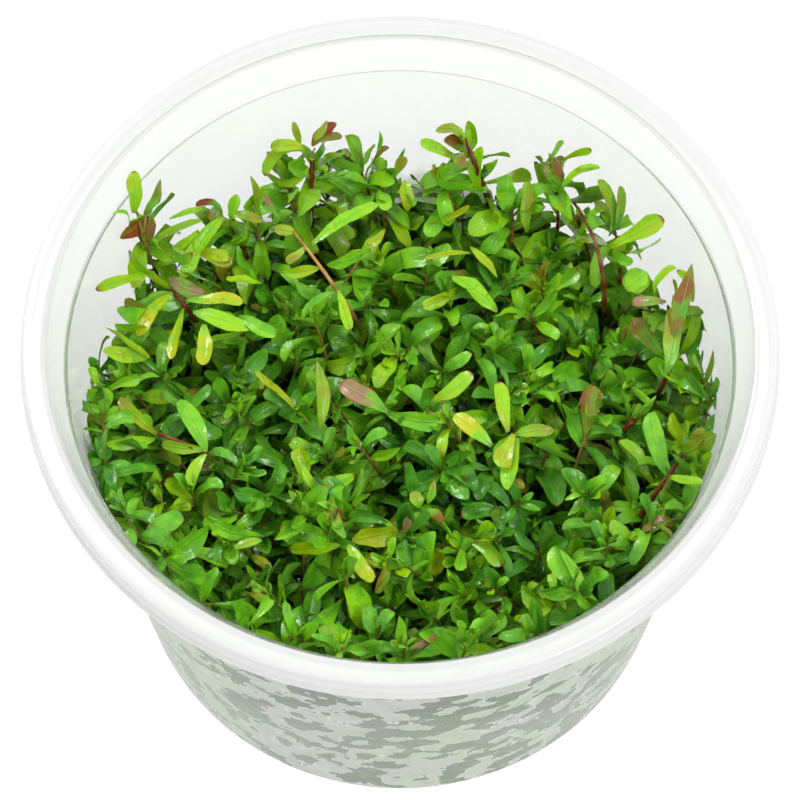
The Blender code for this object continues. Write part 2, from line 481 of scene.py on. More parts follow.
# %% Where the cup is wet
WET_BACK, WET_RISE = 32 * MM, 33 * MM
RISE_OVER = (20 * MM, -42 * MM)
SHORE_WAVES = 6 * MM
RING_FROM = (CUP_HEIGHT - 1.0 * MM, CUP_HEIGHT - 0.5 * MM)
RIM_FROM = (48.0 * MM, 48.4 * MM)
SEAT_FOOT = (SEAT_HEIGHT - 0.2 * MM, SEAT_HEIGHT - 0.8 * MM)

cloudy, tree, shader = new_material("cloudy_polypropylene")
position = object_place(tree)
separate = add_node(tree, "ShaderNodeSeparateXYZ")
wire(tree, position, separate.inputs["Vector"])
height = separate.outputs["Z"]
flat_place = add_node(tree, "ShaderNodeVectorMath", {"operation": "MULTIPLY"})
wire(tree, position, flat_place.inputs[0])
flat_place.inputs[1].default_value = (1.0, 1.0, 0.0)
reach_out = add_node(tree, "ShaderNodeVectorMath", {"operation": "LENGTH"})
wire(tree, flat_place.outputs["Vector"], reach_out.inputs[0])
radius = reach_out.outputs["Value"]

rise = remap(tree, separate.outputs["Y"], *RISE_OVER, 0.0, WET_RISE)
shore = remap(tree, noise(tree, position, 70.0, detail=4.0), 0.3, 0.7, -SHORE_WAVES, SHORE_WAVES)
level = plus(tree, minus(tree, height, rise), shore)
wet_zone = remap(tree, level, WET_BACK + 6 * MM, WET_BACK - 7 * MM)
rim_zone = larger(tree, remap(tree, height, *RING_FROM), remap(tree, radius, *RIM_FROM))
within_rim = remap(tree, radius, RIM_FROM[1], RIM_FROM[0])
under_seat = math_node(tree, "MINIMUM", remap(tree, height, *SEAT_FOOT), within_rim)
wet_zone = times(tree, wet_zone, under_seat)
print("the wall is wet up to", WET_BACK, "m at the back and", WET_BACK + WET_RISE, "m in front")

# %% [markdown]
# ## The wet patches
#
# Where the wall is wet, a noise a few millimetres wide is cut off sharply into patches. A wider noise first
# raises and lowers it, so that the patches crowd together in some places and leave others bare. Cells of
# uneven size, cut off in the same way, are single drops. A thin band just outside the patches is painted
# almost white, a painted highlight on their edges.

# %% Patches and drops
PATCH_STRETCH = (0.96, 0.96, 1.20)
PATCH_SCALE = 225.0
PATCH_CUT = (0.503, 0.519)
CROWDING = (0.040, -0.034)
THIN_OUT = 0.06
DROP_SCALE = 215.0
DROP_SIZE = 0.50
DROP_CUT = (0.10, 0.13)

squeezed = add_node(tree, "ShaderNodeMapping", Scale=PATCH_STRETCH)
wire(tree, position, squeezed.inputs["Vector"])
stretched = squeezed.outputs["Vector"]
field = noise(tree, stretched, PATCH_SCALE, detail=2.9, roughness=0.51)
stain = noise(tree, position, 42.0, detail=2.0)
field = minus(tree, field, remap(tree, stain, 0.35, 0.65, *CROWDING))
field = minus(tree, field, remap(tree, level, WET_BACK - 12 * MM, WET_BACK, 0.0, THIN_OUT))
cells = add_node(tree, "ShaderNodeTexVoronoi", Scale=DROP_SCALE, Randomness=1.0)
wire(tree, stretched, cells.inputs["Vector"])
chance = add_node(tree, "ShaderNodeSeparateColor")
wire(tree, cells.outputs["Color"], chance.inputs["Color"])
room = times(tree, chance.outputs["Red"], DROP_SIZE)
ragged = plus(tree, cells.outputs["Distance"], remap(tree, field, 0.40, 0.60, 0.12, -0.12))
drops = remap(tree, minus(tree, room, ragged), *DROP_CUT)
wet = times(tree, larger(tree, remap(tree, field, *PATCH_CUT), drops), wet_zone)
# Painted highlight: a thin band just outside each patch, later painted almost white.
edge_highlight = times(tree, remap(tree, field, 0.486, 0.496), remap(tree, field, 0.510, 0.504))
edge_highlight = times(tree, edge_highlight, wet_zone)
print("wet zone, patches, drops and bright edges take", len(tree.nodes), "nodes")

# %% [markdown]
# ## The finish of the plastic
#
# The dry wall lets most of the light through and is smooth. The haze of fine droplets lets less through and
# is rougher, and a patch is smooth again and shows the colour of what touches it. The rim is thicker and is
# seen against more plastic, so it is whiter. The crease where the lid seat begins gets a thin grey line of
# painted shade.

# %% Clearness, gloss and roughness
DRY_CLEAR, HAZE_HIDES, PATCH_HIDES, RIM_HIDES = 0.88, 0.46, 0.12, 0.58
DRY_GLOSS, PATCH_DULLS = 0.5, 0.34
DRY_ROUGH, HAZE_ROUGHENS, PATCH_SMOOTHS = 0.20, 0.25, 0.24
PLASTIC_IOR = 1.49

clear = less_in(tree, wet_zone, DRY_CLEAR, HAZE_HIDES)
clear = less_in(tree, wet, clear, PATCH_HIDES)
wire(tree, less_in(tree, rim_zone, clear, RIM_HIDES), shader.inputs["Transmission Weight"])
wire(tree, less_in(tree, wet, DRY_GLOSS, PATCH_DULLS), shader.inputs["Specular IOR Level"])
rough = plus(tree, DRY_ROUGH, times(tree, wet_zone, HAZE_ROUGHENS))
wire(tree, less_in(tree, wet, rough, PATCH_SMOOTHS), shader.inputs["Roughness"])
set_inputs(shader, IOR=PLASTIC_IOR)
print("the dry wall lets", DRY_CLEAR, "of the light through, a patch",
      round(DRY_CLEAR - HAZE_HIDES - PATCH_HIDES, 2))

# %% Colours of the plastic
PATCH_COLOURS = ((0.09, 0.125, 0.05), (0.035, 0.14, 0.01))
HAZE_COLOURS = ((0.70, 0.73, 0.69), (0.67, 0.76, 0.58))
EDGE_HIGHLIGHT = (0.97, 0.98, 0.95)
DRY_COLOUR = (0.957, 0.967, 0.953)
RIM_COLOUR = (0.87, 0.875, 0.87)
CREASE_SHADE = (0.40, 0.41, 0.41)
CREASE_UP = (SEAT_HEIGHT - 0.04 * MM, SEAT_HEIGHT)
CREASE_DOWN = (SEAT_HEIGHT + 0.11 * MM, SEAT_HEIGHT + 0.07 * MM)
CREASE_WITHIN = (44.7 * MM, 44.6 * MM)

# Painted shade: a thin grey line along the crease, on the inside of the cup only.
crease = times(tree, remap(tree, height, *CREASE_UP), remap(tree, height, *CREASE_DOWN))
crease = times(tree, crease, remap(tree, radius, *CREASE_WITHIN))
green_share = remap(tree, noise(tree, position, 55.0, detail=3.0), 0.36, 0.64)
patch_colour = blend_colour(tree, green_share, *PATCH_COLOURS)
haze_colour = blend_colour(tree, green_share, *HAZE_COLOURS)
# The patches' edges get their painted highlight here.
haze_colour = blend_colour(tree, edge_highlight, haze_colour, EDGE_HIGHLIGHT)
fine = remap(tree, noise(tree, stretched, 520.0, detail=3.0), 0.35, 0.65, -0.10, 0.12)
patch_share = plus(tree, wet, times(tree, fine, wet_zone))
# The last layer over the plastic's colours is the crease's painted shade.
plastic = paint_over(tree, DRY_COLOUR, (
    (wet_zone, haze_colour), (patch_share, patch_colour), (rim_zone, RIM_COLOUR), (crease, CREASE_SHADE)))
wire(tree, plastic, shader.inputs["Base Color"])

grain = noise(tree, position, 900.0, detail=2.0)
relief = plus(tree, wet, times(tree, grain, 0.10))
bump(tree, relief, 0.12 * MM, shader, strength=0.5)
cup.data.materials.append(cloudy)
print("the cup's material has", len(tree.nodes), "nodes")

# %% [markdown]
# ## Nutrient gel
#
# The gel was poured in hot and set against the cup, so it is a disc with the cup's own taper. It is nearly
# as clear as water, with a little cloud and an uneven surface. It is spun like the cup, one gap inside it.

# %% Gel
GAP = 0.3 * MM
GEL_LIP = 0.5 * MM
gel_corner = 2.2 * MM
gel_foot = FLOOR_TOP + GAP + gel_corner
gel_reach = inner_wall(GEL_TOP) - GAP
gel_section = [(0.0, GEL_TOP), (gel_reach - GEL_LIP, GEL_TOP - 0.05 * MM), (gel_reach, GEL_TOP - 0.3 * MM)]
gel_section += arc(inner_wall(gel_foot) - GAP - gel_corner, gel_foot, gel_corner, 0, -90)
gel_section.append((0.0, FLOOR_TOP + GAP))
gel = spun("clear_gel", gel_section, steps=120)
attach(gel, "root")
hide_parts("nutrient_gel")
print("gel has", len(gel.data.polygons), "faces")

# %% Gel material
GEL_COLOUR = (0.90, 0.93, 0.84, 1.0)
GEL_IOR = 1.34

jelly, tree, shader = new_material("set_gel")
position = object_place(tree)
cloud = remap(tree, noise(tree, position, 60.0, detail=4.0), 0.3, 0.7, 0.70, 0.85)
wire(tree, cloud, shader.inputs["Transmission Weight"])
set_inputs(shader, Base_Color=GEL_COLOUR, Roughness=0.12, IOR=GEL_IOR)
bump(tree, noise(tree, position, 300.0), 0.2 * MM, shader, strength=0.3)
gel.data.materials.append(jelly)
print("the gel's material has", len(tree.nodes), "nodes")

# %% [markdown]
# ## Leaves
#
# The leaves of this plant are small, glossy and without a stalk, 4 to 8 mm long. Some are narrow with a
# blunt tip, some oval, some pointed. Four are modelled by hand: a grid is added, each of its rows is
# moved and scaled to the leaf's outline, and a copy of it is turned over and joined along the edge, which
# makes a thin closed lens of a few dozen faces. The rows stand closer at the tip, so that it is round.
# Each blade is also made with fewer rows, for the leaves deep in the mat that are seen only in gaps.

# %% Leaf outlines
ROW_PLACES = (0.0, 0.10, 0.27, 0.46, 0.65, 0.82, 0.94, 1.0)
OUTLINES = {
    "oval": (0.16, 0.44, 0.80, 1.00, 0.98, 0.78, 0.48, 0.14),
    "oblong": (0.24, 0.40, 0.68, 0.90, 1.00, 0.95, 0.66, 0.22),
    "spatula": (0.26, 0.30, 0.42, 0.62, 0.88, 1.00, 0.78, 0.28),
    "lance": (0.20, 0.44, 0.82, 1.00, 0.86, 0.56, 0.26, 0.05),
}
FINE = (4, ROW_PLACES)
COARSE = (2, (0.0, 0.22, 0.50, 0.80, 1.0))
print("outlines:", list(OUTLINES))

# %% [markdown]
# ## Modelling one blade
#
# Rows are selected by their place, moved with Translate and narrowed with Resize. A row that is done is set
# aside, so that it isn't picked again with the next, and all are brought back together. Only then is the
# upper sheet raised and the lower one lowered between their shared edges.


# %% Row by row
SAME_ROW = 0.001


def select_row(mesh, place):
    """In edit mode, selects the vertices at one place along Y."""
    bpy.ops.mesh.select_all(action="DESELECT")
    bpy.ops.object.mode_set(mode="OBJECT")
    for vertex in mesh.vertices:
        vertex.select = abs(vertex.co.y - place) < SAME_ROW
    bpy.ops.object.mode_set(mode="EDIT")


def swell(mesh, columns, places, widths):
    """Raises the upper sheet and lowers the lower one between their edges, one unit at the middle."""
    per_sheet = (columns + 1) * len(places)
    for index, vertex in enumerate(mesh.vertices):
        row = min(range(len(places)), key=lambda r: abs(places[r] - vertex.co.y))
        across = 2.0 * vertex.co.x / widths[row]
        if 0 < row < len(places) - 1:
            vertex.co.z = max(0.0, 1.0 - across * across) * (1.0 if index < per_sheet else -1.0)


print("a fine blade has", len(ROW_PLACES), "rows of", FINE[0] + 1, "points on each side")

# %% Model the leaf blades
ASIDE = 10.0
BLADE_MERGE = 0.0001


def blade(name, outline, columns, places):
    """A leaf blade one unit long and one wide: a grid whose rows are scaled to its outline, doubled."""
    rows = len(places) - 1
    widths = np.interp(places, ROW_PLACES, outline)
    bpy.ops.object.select_all(action="DESELECT")
    bpy.ops.mesh.primitive_grid_add(x_subdivisions=columns, y_subdivisions=rows, size=1.0,
                                    location=(0.0, 0.5, 0.0))
    made = bpy.context.object
    made.name = "blade_" + name
    bpy.ops.object.transform_apply(location=True)
    bpy.ops.object.mode_set(mode="EDIT")
    bpy.ops.mesh.select_mode(type="VERT")
    for row in range(rows + 1):
        even = row / rows
        select_row(made.data, even)
        bpy.ops.transform.resize(value=(widths[row], 1.0, 1.0), center_override=(0.0, even, 0.0))
        bpy.ops.transform.translate(value=(0.0, ASIDE + places[row] - even, 0.0))
    bpy.ops.mesh.select_all(action="SELECT")
    bpy.ops.transform.translate(value=(0.0, -ASIDE, 0.0))
    bpy.ops.mesh.duplicate()
    bpy.ops.mesh.flip_normals()
    bpy.ops.object.mode_set(mode="OBJECT")
    swell(made.data, columns, places, widths)
    bpy.ops.object.mode_set(mode="EDIT")
    bpy.ops.mesh.select_all(action="SELECT")
    bpy.ops.mesh.remove_doubles(threshold=BLADE_MERGE)
    bpy.ops.mesh.normals_make_consistent(inside=False)
    bpy.ops.object.mode_set(mode="OBJECT")
    return made


blades = {(name, detail): blade(name, outline, *size)
          for name, outline in OUTLINES.items()
          for detail, size in (("fine", FINE), ("coarse", COARSE))}
for name, made in blades.items():
    print("blade", name, "has", len(made.data.polygons), "faces")

# %% [markdown]
# ## Bending a copy of a leaf
#
# Thousands of leaves are needed, each with its own mesh, so the copies are made as arrays of points. The
# blade's points are read once. A copy is scaled to its length and width, arched along its length, folded a
# little along its midrib, waved at its edges and twisted. Values go with each point for the material, such
# as how far along the leaf it is, how far across, and whether it is on the underside.

# %% Leaf copies as arrays
HALF_THICK = 0.07 * MM


def read_blade(made):
    """The blade's points and faces as arrays, and which points are on its underside."""
    points = np.array([v.co[:] for v in made.data.vertices])
    faces = [list(p.vertices) for p in made.data.polygons]
    return points, faces, (points[:, 2] < -1e-6).astype(float)


BLADES = {name: read_blade(made) for name, made in blades.items()}
for made in blades.values():
    bpy.data.objects.remove(made)


def bent_leaf(points, length, width, habit):
    """A copy of a blade along Y. Habit holds its arch, fold, twist and roll in radians, and its wave."""
    along = points[:, 1]
    half = 2.0 * points[:, 0]
    across = points[:, 0] * width
    across = across * (1.0 + 0.10 * np.sin(9.0 * along + habit["phase"] * 17.0) * np.sign(half))
    across = across + habit["sickle"] * length * np.sin(math.pi * along * 0.9)
    wave = habit["wave"] * width * np.sin(8.0 * along + habit["phase"] * 6.3) * half * half
    lift = np.abs(points[:, 0]) * width * habit["fold"] + points[:, 2] * HALF_THICK + wave
    turn = habit["roll"] + habit["twist"] * along
    x = across * np.cos(turn) - lift * np.sin(turn)
    up = across * np.sin(turn) + lift * np.cos(turn)
    arch = habit["arch"] if abs(habit["arch"]) > 1e-3 else 1e-3
    angle = -arch * along
    y = length * np.sin(arch * along) / arch
    drop = -length * (1.0 - np.cos(arch * along)) / arch
    return np.stack([x, y - np.sin(angle) * up, drop + np.cos(angle) * up], axis=1)


print("each leaf copy has", len(BLADES["oval", "fine"][1]), "faces, or", len(BLADES["oval", "coarse"][1]))

# %% [markdown]
# ## A basket of leaves
#
# Blender is slow at adding thousands of small objects, so the leaves of one group are gathered in a basket
# of arrays and become one mesh at the end. Before a leaf goes in, its points are moved inside the cup's
# wall where they pass it, which is what happens to a real leaf that presses against the plastic. Leaves
# far below the top of the mat are older and get less light, so each point also stores how deep it is, and
# the materials darken it by that: partly the colour of older leaves, partly painted shade.

# %% Where the mat ends
MAT_HEIGHT = 47.5 * MM
MAT_SLOPE = 0.10
BACK_FROM = 14.0 * MM
BACK_SLOPE = 0.26
DEEP_BY = 18.0 * MM


def mat_surface(y):
    """Height of the mat's top at a distance to the back, one number or an array."""
    return MAT_HEIGHT - MAT_SLOPE * y - BACK_SLOPE * np.maximum(y - BACK_FROM, 0.0)


def kept_inside(points):
    """Points moved in until they are clear of the cup's wall, as a leaf pressed against it is."""
    radius = np.hypot(points[:, 0], points[:, 1])
    room = inner_wall(points[:, 2]) - CLEAR_OF_WALL
    scale = np.minimum(1.0, room / np.maximum(radius, 1e-6))
    points[:, 0] *= scale
    points[:, 1] *= scale
    return points


print("a leaf is fully in the dark", round(DEEP_BY / MM, 1), "mm below the top of the mat")


# %% Basket
VALUE_NAMES = ("along", "across", "under", "tint", "blush", "shade", "deep")


class Basket:
    """Points, faces and values of many leaves and stems, to become one mesh."""

    def __init__(self):
        self.points, self.faces, self.values, self.is_stem = [], [], [], []
        self.count = 0

    def add(self, points, faces, along, across, under, look, is_stem):
        points = kept_inside(points)
        count = len(points)
        # How deep the point is below the mat's top; the materials darken by it, partly as painted shade.
        deep = np.clip((mat_surface(points[:, 1]) - points[:, 2]) / DEEP_BY, 0.0, 1.0)
        flat = [np.zeros(count) + look[name] for name in ("tint", "blush", "shade")]
        self.points.append(points)
        self.values.append(np.stack([along, across, under, *flat, deep], axis=1))
        self.faces += [[i + self.count for i in face] for face in faces]
        self.is_stem += [is_stem] * len(faces)
        self.count += count


print("a basket keeps with each point:", ", ".join(VALUE_NAMES))


# %% Lay a leaf in a basket
def lay_leaf(basket, root, forward, up, kind, length, width, habit, look):
    """One leaf from its root, forward along its rib, with its upper face towards up."""
    points, faces, under = BLADES[kind, look["detail"]]
    sideways = forward.cross(up).normalized()
    up = sideways.cross(forward).normalized()
    place = np.array([sideways[:], forward[:], up[:]])
    world = bent_leaf(points, length, width, habit) @ place + np.array(root[:])
    basket.add(world, faces, points[:, 1], points[:, 0] * 2.0, under, look, False)


print("a fine leaf brings", len(BLADES["oval", "fine"][0]), "points, a coarse one",
      len(BLADES["oval", "coarse"][0]))

# %% [markdown]
# ## A stem
#
# The stems are thin, round and a little thicker and redder where a pair of leaves stands. A curve object
# with a bevel could make one, but hundreds of curves are slow, so a stem is a tube of rings laid along a
# smooth curve through a few points, closed at both ends, and goes into the basket like a leaf.


# %% Smooth curves
def curve_point(route, t):
    """A point of the smooth curve that a list of points draws, at t from 0 to 1."""
    points = list(route)
    while len(points) > 1:
        points = [a.lerp(b, t) for a, b in zip(points, points[1:])]
    return points[0]


def curve_frame(route, t):
    """Direction of the stem at t, and two directions square to it."""
    along = (curve_point(route, min(1.0, t + 0.01)) - curve_point(route, max(0.0, t - 0.01))).normalized()
    side = along.cross(Vector((0.31, 0.95, 0.07))).normalized()
    return along, side, along.cross(side)


bow = (Vector((0, 0, 0)), Vector((0, 1, 1)), Vector((0, 2, 0)))
print("half way along a bow of 2 by 1:", curve_point(bow, 0.5)[:])

# %% Lay a stem
STEM_SIDES = 6
STEM_RINGS = 14
STEM_TAPER = 0.55
BETWEEN_NODES = 0.94
NODE_BLUSH = 0.45


def add_stem(basket, route, start, look):
    """The stem as a tapering tube, thicker and redder at its nodes, closed at both ends."""
    points, along_values, across_values, blushes = [], [], [], []
    for i in range(STEM_RINGS + 1):
        t = start + (1.0 - start) * i / STEM_RINGS
        along, side, other = curve_frame(route, t)
        node = i % 2 == 0
        thick = look["stem"] * (1.0 - STEM_TAPER * t) * (look["knot"] if node else BETWEEN_NODES)
        centre = curve_point(route, t)
        for k in range(STEM_SIDES):
            angle = math.tau * k / STEM_SIDES
            points.append(centre + (side * math.cos(angle) + other * math.sin(angle)) * thick)
            along_values.append(i / STEM_RINGS)
            across_values.append(math.sin(angle))
            blushes.append(min(1.0, look["blush"] + (NODE_BLUSH if node else 0.0)))
    faces = []
    for i in range(STEM_RINGS):
        for k in range(STEM_SIDES):
            a = i * STEM_SIDES + k
            b = i * STEM_SIDES + (k + 1) % STEM_SIDES
            faces.append([a, b, b + STEM_SIDES, a + STEM_SIDES])
    faces.append(list(range(STEM_SIDES))[::-1])
    faces.append([STEM_RINGS * STEM_SIDES + k for k in range(STEM_SIDES)])
    basket.add(np.array(points), faces, np.array(along_values), np.array(across_values),
               np.zeros(len(points)), {**look, "blush": np.array(blushes)}, True)


print("each stem has", STEM_SIDES * STEM_RINGS + 2, "faces")

# %% [markdown]
# ## Growing one shoot
#
# A shoot is a stem with leaves in opposite pairs, each pair a quarter turn round from the last. The pairs
# crowd together towards the tip, where the leaves are young, short and steep; further down they are full
# size and spread or droop. Nothing in the cup grows evenly, so every angle and length has its own throw of
# the dice.

# %% Pairs of leaves down a shoot
YOUNG_GAPS = (0.4, 0.7, 1.1, 1.6, 2.1, 2.5, 2.8)
FULL_GAP = 3.1
YOUNG_LENGTHS = (1.4, 2.6, 4.1, 5.4, 6.4, 6.9)
FULL_LENGTH = 7.3
YOUNG_RISES = (78, 66, 54, 43, 34, 26, 19)
FULL_RISE = 10


def pair_places(length_mm, reach_mm):
    """How far below the tip each pair of leaves stands, in mm, down to reach_mm."""
    places, below = [], 0.3
    while below < min(length_mm, reach_mm):
        places.append(below)
        below += YOUNG_GAPS[len(places) - 1] if len(places) <= len(YOUNG_GAPS) else FULL_GAP
    return places


def young_or_full(young, full, i):
    """The value of the pair i below the tip: its own near the tip, and the full one further down."""
    return young[i] if i < len(young) else full


print("a shoot with leaves down 24 mm has", len(pair_places(60.0, 24.0)), "pairs of leaves")

# %% One leaf of a shoot
SLIM = {"oval": 0.45, "oblong": 0.37, "spatula": 0.36, "lance": 0.32}
LENGTH_SPREAD = (0.75, 1.15)
WIDTH_SPREAD = (0.85, 1.15)
RISE_SPREAD = 20
OLD_ARCH, YOUNG_ARCH = (-0.4, 1.7), (-1.2, 0.4)
YOUNG_PAIRS = 3
YOUNG_TINT = 0.06


def grown_leaf(basket, dice, root, along, out, i, look):
    """One leaf of a shoot, i pairs below the tip."""
    length = young_or_full(YOUNG_LENGTHS, FULL_LENGTH, i) * look["size"] * dice.uniform(*LENGTH_SPREAD) * MM
    kind = dice.choices(tuple(SLIM), look["kinds"])[0]
    width = length * SLIM[kind] * dice.uniform(*WIDTH_SPREAD)
    rise = math.radians(young_or_full(YOUNG_RISES, FULL_RISE, i) + dice.gauss(0, RISE_SPREAD) + look["lift"])
    young = i < YOUNG_PAIRS
    wild = look["wild"]
    habit = {
        "arch": dice.uniform(*(YOUNG_ARCH if young else OLD_ARCH)) * wild,
        "fold": dice.uniform(0.0, 0.95),
        "twist": dice.uniform(-1.1, 1.1) * wild,
        "roll": dice.gauss(0.0, 0.42) * wild,
        "wave": dice.uniform(0.0, 0.18) * wild,
        "sickle": dice.gauss(0.0, 0.05),
        "phase": dice.random(),
    }
    forward = out * math.cos(rise) + along * math.sin(rise)
    own = dict(look)
    own["tint"] = min(1.0, max(0.0, look["tint"] + dice.gauss(0.0, 0.10) + (YOUNG_TINT if young else 0.0)))
    own["blush"] = look["blush"] if i < look["blush_pairs"] else look["blush"] * 0.12
    own["shade"] = dice.random()
    own["detail"] = "fine" if i < look["fine_pairs"] else "coarse"
    if dice.random() < look["odd"]:
        own["blush"] = dice.uniform(0.3, 0.95)
    lay_leaf(basket, root, forward, along, kind, length, width, habit, own)


print("a full leaf is about", FULL_LENGTH, "mm long, and an oval one is",
      round(FULL_LENGTH * SLIM["oval"], 1), "mm wide")

# %% [markdown]
# ## A whole shoot
#
# The stem follows a curve through its foot, a bend and its tip. Only its upper part is seen in the crowded
# mat, so the stem and its leaves stop some millimetres below the tip, at the shoot's reach. The shoots at
# the wall show through the plastic from the sides, so they reach further down.


# %% Grow a whole shoot
def add_shoot(basket, dice, route, look):
    """One shoot: its stem, and pairs of leaves from the tip down."""
    length_mm = sum((b - a).length for a, b in zip(route, route[1:])) / MM
    start = max(0.0, 1.0 - (look["reach"] + 2.0) / length_mm)
    add_stem(basket, route, start, look)
    turn = dice.uniform(0, math.pi)
    for i, below in enumerate(pair_places(length_mm, look["reach"])):
        t = 1.0 - below / length_mm
        along, side, other = curve_frame(route, t)
        centre = curve_point(route, t)
        turn += math.pi / 2 + dice.gauss(0, 0.2)
        for half in (0.0, math.pi):
            angle = turn + half + dice.gauss(0, 0.2)
            out = side * math.cos(angle) + other * math.sin(angle)
            grown_leaf(basket, dice, centre + out * look["stem"] * 0.5, along, out, i, look)


print("a shoot's leaves begin", pair_places(60.0, 24.0)[0], "mm below its tip")

# %% [markdown]
# ## Leaf colours
#
# Every leaf has its own colour, but thousands of materials would be too many. So each point carries a few
# values, and a colour ramp turns them into a colour: tint runs from deep green to lime, and blush turns young
# or old leaves golden, olive, red-brown or pink-brown.


# %% Colours by value
def value_of(tree, name):
    """A value stored with the points."""
    return add_node(tree, "ShaderNodeAttribute", {"attribute_name": name}).outputs["Fac"]


def colour_ramp(tree, source, stops):
    """Colours along a value, each stop a place and a colour."""
    ramp = add_node(tree, "ShaderNodeValToRGB")
    wire(tree, source, ramp.inputs["Fac"])
    for _ in range(len(stops) - 2):
        ramp.color_ramp.elements.new(0.5)
    for element, (place, colour) in zip(ramp.color_ramp.elements, stops):
        element.position = place
        element.color = (*colour, 1.0)
    return ramp.outputs["Color"]


GREENS = ((0.0, srgb(54, 126, 34)), (0.30, srgb(90, 168, 36)), (0.55, srgb(124, 202, 34)),
          (0.80, srgb(154, 214, 20)), (1.0, srgb(166, 190, 10)))
BLUSHES = ((0.0, srgb(190, 196, 14)), (0.09, srgb(150, 140, 40)), (0.35, srgb(136, 94, 38)),
           (0.65, srgb(146, 60, 32)), (1.0, srgb(160, 130, 96)))
RIB_GREEN = srgb(170, 200, 90)
ROOT_GREEN = srgb(90, 120, 30)
TIP_RED = srgb(150, 52, 22)
RIM_GREEN = srgb(40, 84, 16)
UNDER_GREEN = srgb(140, 170, 80)
# Darker green deep in the mat: partly older leaves, partly painted shade.
DEPTH_SHADE_GREEN = srgb(26, 70, 14)
print("greens:", len(GREENS), "blushes:", len(BLUSHES))

# %% [markdown]
# ## Wet leaf
#
# One leaf material serves the whole mat. Over the ramp's colour come a faint pale rib along the middle, a
# darker root, a reddish tip on some, a darker rim, a paler underside, and a darker green deep in the mat,
# which is partly the colour of older leaves and partly painted shade.
# The leaves are wet and glossy, with blisters and dew in the bump, and a little light passes into them,
# which Subsurface gives.

# %% Leaf colour
wet_leaf, tree, shader = new_material("wet_leaf")
position = object_place(tree)
blush = value_of(tree, "blush")
along = value_of(tree, "along")
shade = value_of(tree, "shade")
across = math_node(tree, "ABSOLUTE", value_of(tree, "across"), 0.0)
mottle = noise(tree, position, 600.0, detail=3.0)
clouds = noise(tree, position, 260.0, detail=3.0)
tint = plus(tree, value_of(tree, "tint"), remap(tree, mottle, 0.3, 0.7, -0.09, 0.09))
tint = plus(tree, tint, remap(tree, clouds, 0.3, 0.7, -0.13, 0.13))
blotches = remap(tree, clouds, 0.35, 0.65, -0.45, 0.45)
patchy = plus(tree, remap(tree, along, 0.15, 0.85, 0.25, 0.95), blotches)
patchy = times(tree, patchy, times(tree, blush, 1.15))
rib = remap(tree, across, 0.12, 0.02, 0.0, 0.16)
tip = times(tree, remap(tree, along, 0.93, 1.0), remap(tree, shade, 0.72, 0.74))
edge = times(tree, remap(tree, across, 0.80, 1.0), remap(tree, blush, 0.25, 0.9))
leaf_colour = paint_over(tree, colour_ramp(tree, tint, GREENS), (
    (patchy, colour_ramp(tree, shade, BLUSHES)),
    (rib, RIB_GREEN),
    (remap(tree, along, 0.22, 0.0, 0.0, 0.45), ROOT_GREEN),
    (larger(tree, tip, edge), TIP_RED),
    (remap(tree, across, 0.84, 1.0, 0.0, 0.30), RIM_GREEN),
    (times(tree, value_of(tree, "under"), 0.30), UNDER_GREEN),
    # Darker deep in the mat, partly the colour of older leaves and partly painted shade.
    (times(tree, value_of(tree, "deep"), 0.58), DEPTH_SHADE_GREEN),
))
wire(tree, leaf_colour, shader.inputs["Base Color"])
print("the leaf's colour takes", len(tree.nodes), "nodes")

# %% Leaf gloss and relief
set_inputs(shader, Roughness=0.25, Specular_IOR_Level=0.45, Subsurface_Weight=0.08,
           Subsurface_Radius=(0.5, 1.0, 0.15), Subsurface_Scale=0.6 * MM)
blisters = noise(tree, position, 330.0, detail=1.0)
dew = remap(tree, noise(tree, position, 1500.0, detail=0.0), 0.66, 0.72)
dewy = remap(tree, noise(tree, position, 80.0, detail=1.0), 0.55, 0.60)
relief = plus(tree, times(tree, rib, 2.0), mottle)
relief = plus(tree, relief, times(tree, blisters, 2.0))
relief = plus(tree, relief, times(tree, dew, dewy))
bump(tree, relief, 0.20 * MM, shader, strength=0.9)
print("the leaf's material has", len(tree.nodes), "nodes")

# %% [markdown]
# ## Young stem
#
# The stems run from green and cream to dark red, the redder the more light they had. Fine streaks and a
# little gloss make them look juicy and not like wire. Deep in the mat they are darker, partly as painted
# shade.

# %% Stem material
STEM_GREENS = (srgb(84, 120, 26), srgb(224, 176, 92))
STEM_RED = srgb(112, 22, 5)
STREAK_RED = srgb(80, 24, 8)
STEM_DEPTH_SHADE = srgb(24, 26, 8)

young_stem, tree, shader = new_material("young_stem")
streaks = noise(tree, object_place(tree), 420.0, detail=4.0)
stem_colour = paint_over(tree, blend_colour(tree, value_of(tree, "tint"), *STEM_GREENS), (
    (value_of(tree, "blush"), STEM_RED),
    (remap(tree, streaks, 0.35, 0.7, 0.0, 0.30), STREAK_RED),
    # Darker deep in the mat, partly older stems and partly painted shade.
    (times(tree, value_of(tree, "deep"), 0.70), STEM_DEPTH_SHADE),
))
wire(tree, stem_colour, shader.inputs["Base Color"])
set_inputs(shader, Roughness=0.36, Subsurface_Weight=0.2, Subsurface_Scale=0.5 * MM)
bump(tree, streaks, 0.1 * MM, shader, strength=0.4)
print("the stem's material has", len(tree.nodes), "nodes")

# %% [markdown]
# ## From basket to piece
#
# When a basket is full, its arrays become one mesh. The values go on it as point attributes, which the
# materials read by name. It is shaded smooth, but stays sharp at the thin rims of the leaves.

# %% Turn a basket into a piece
SHARP_FROM = math.radians(75)


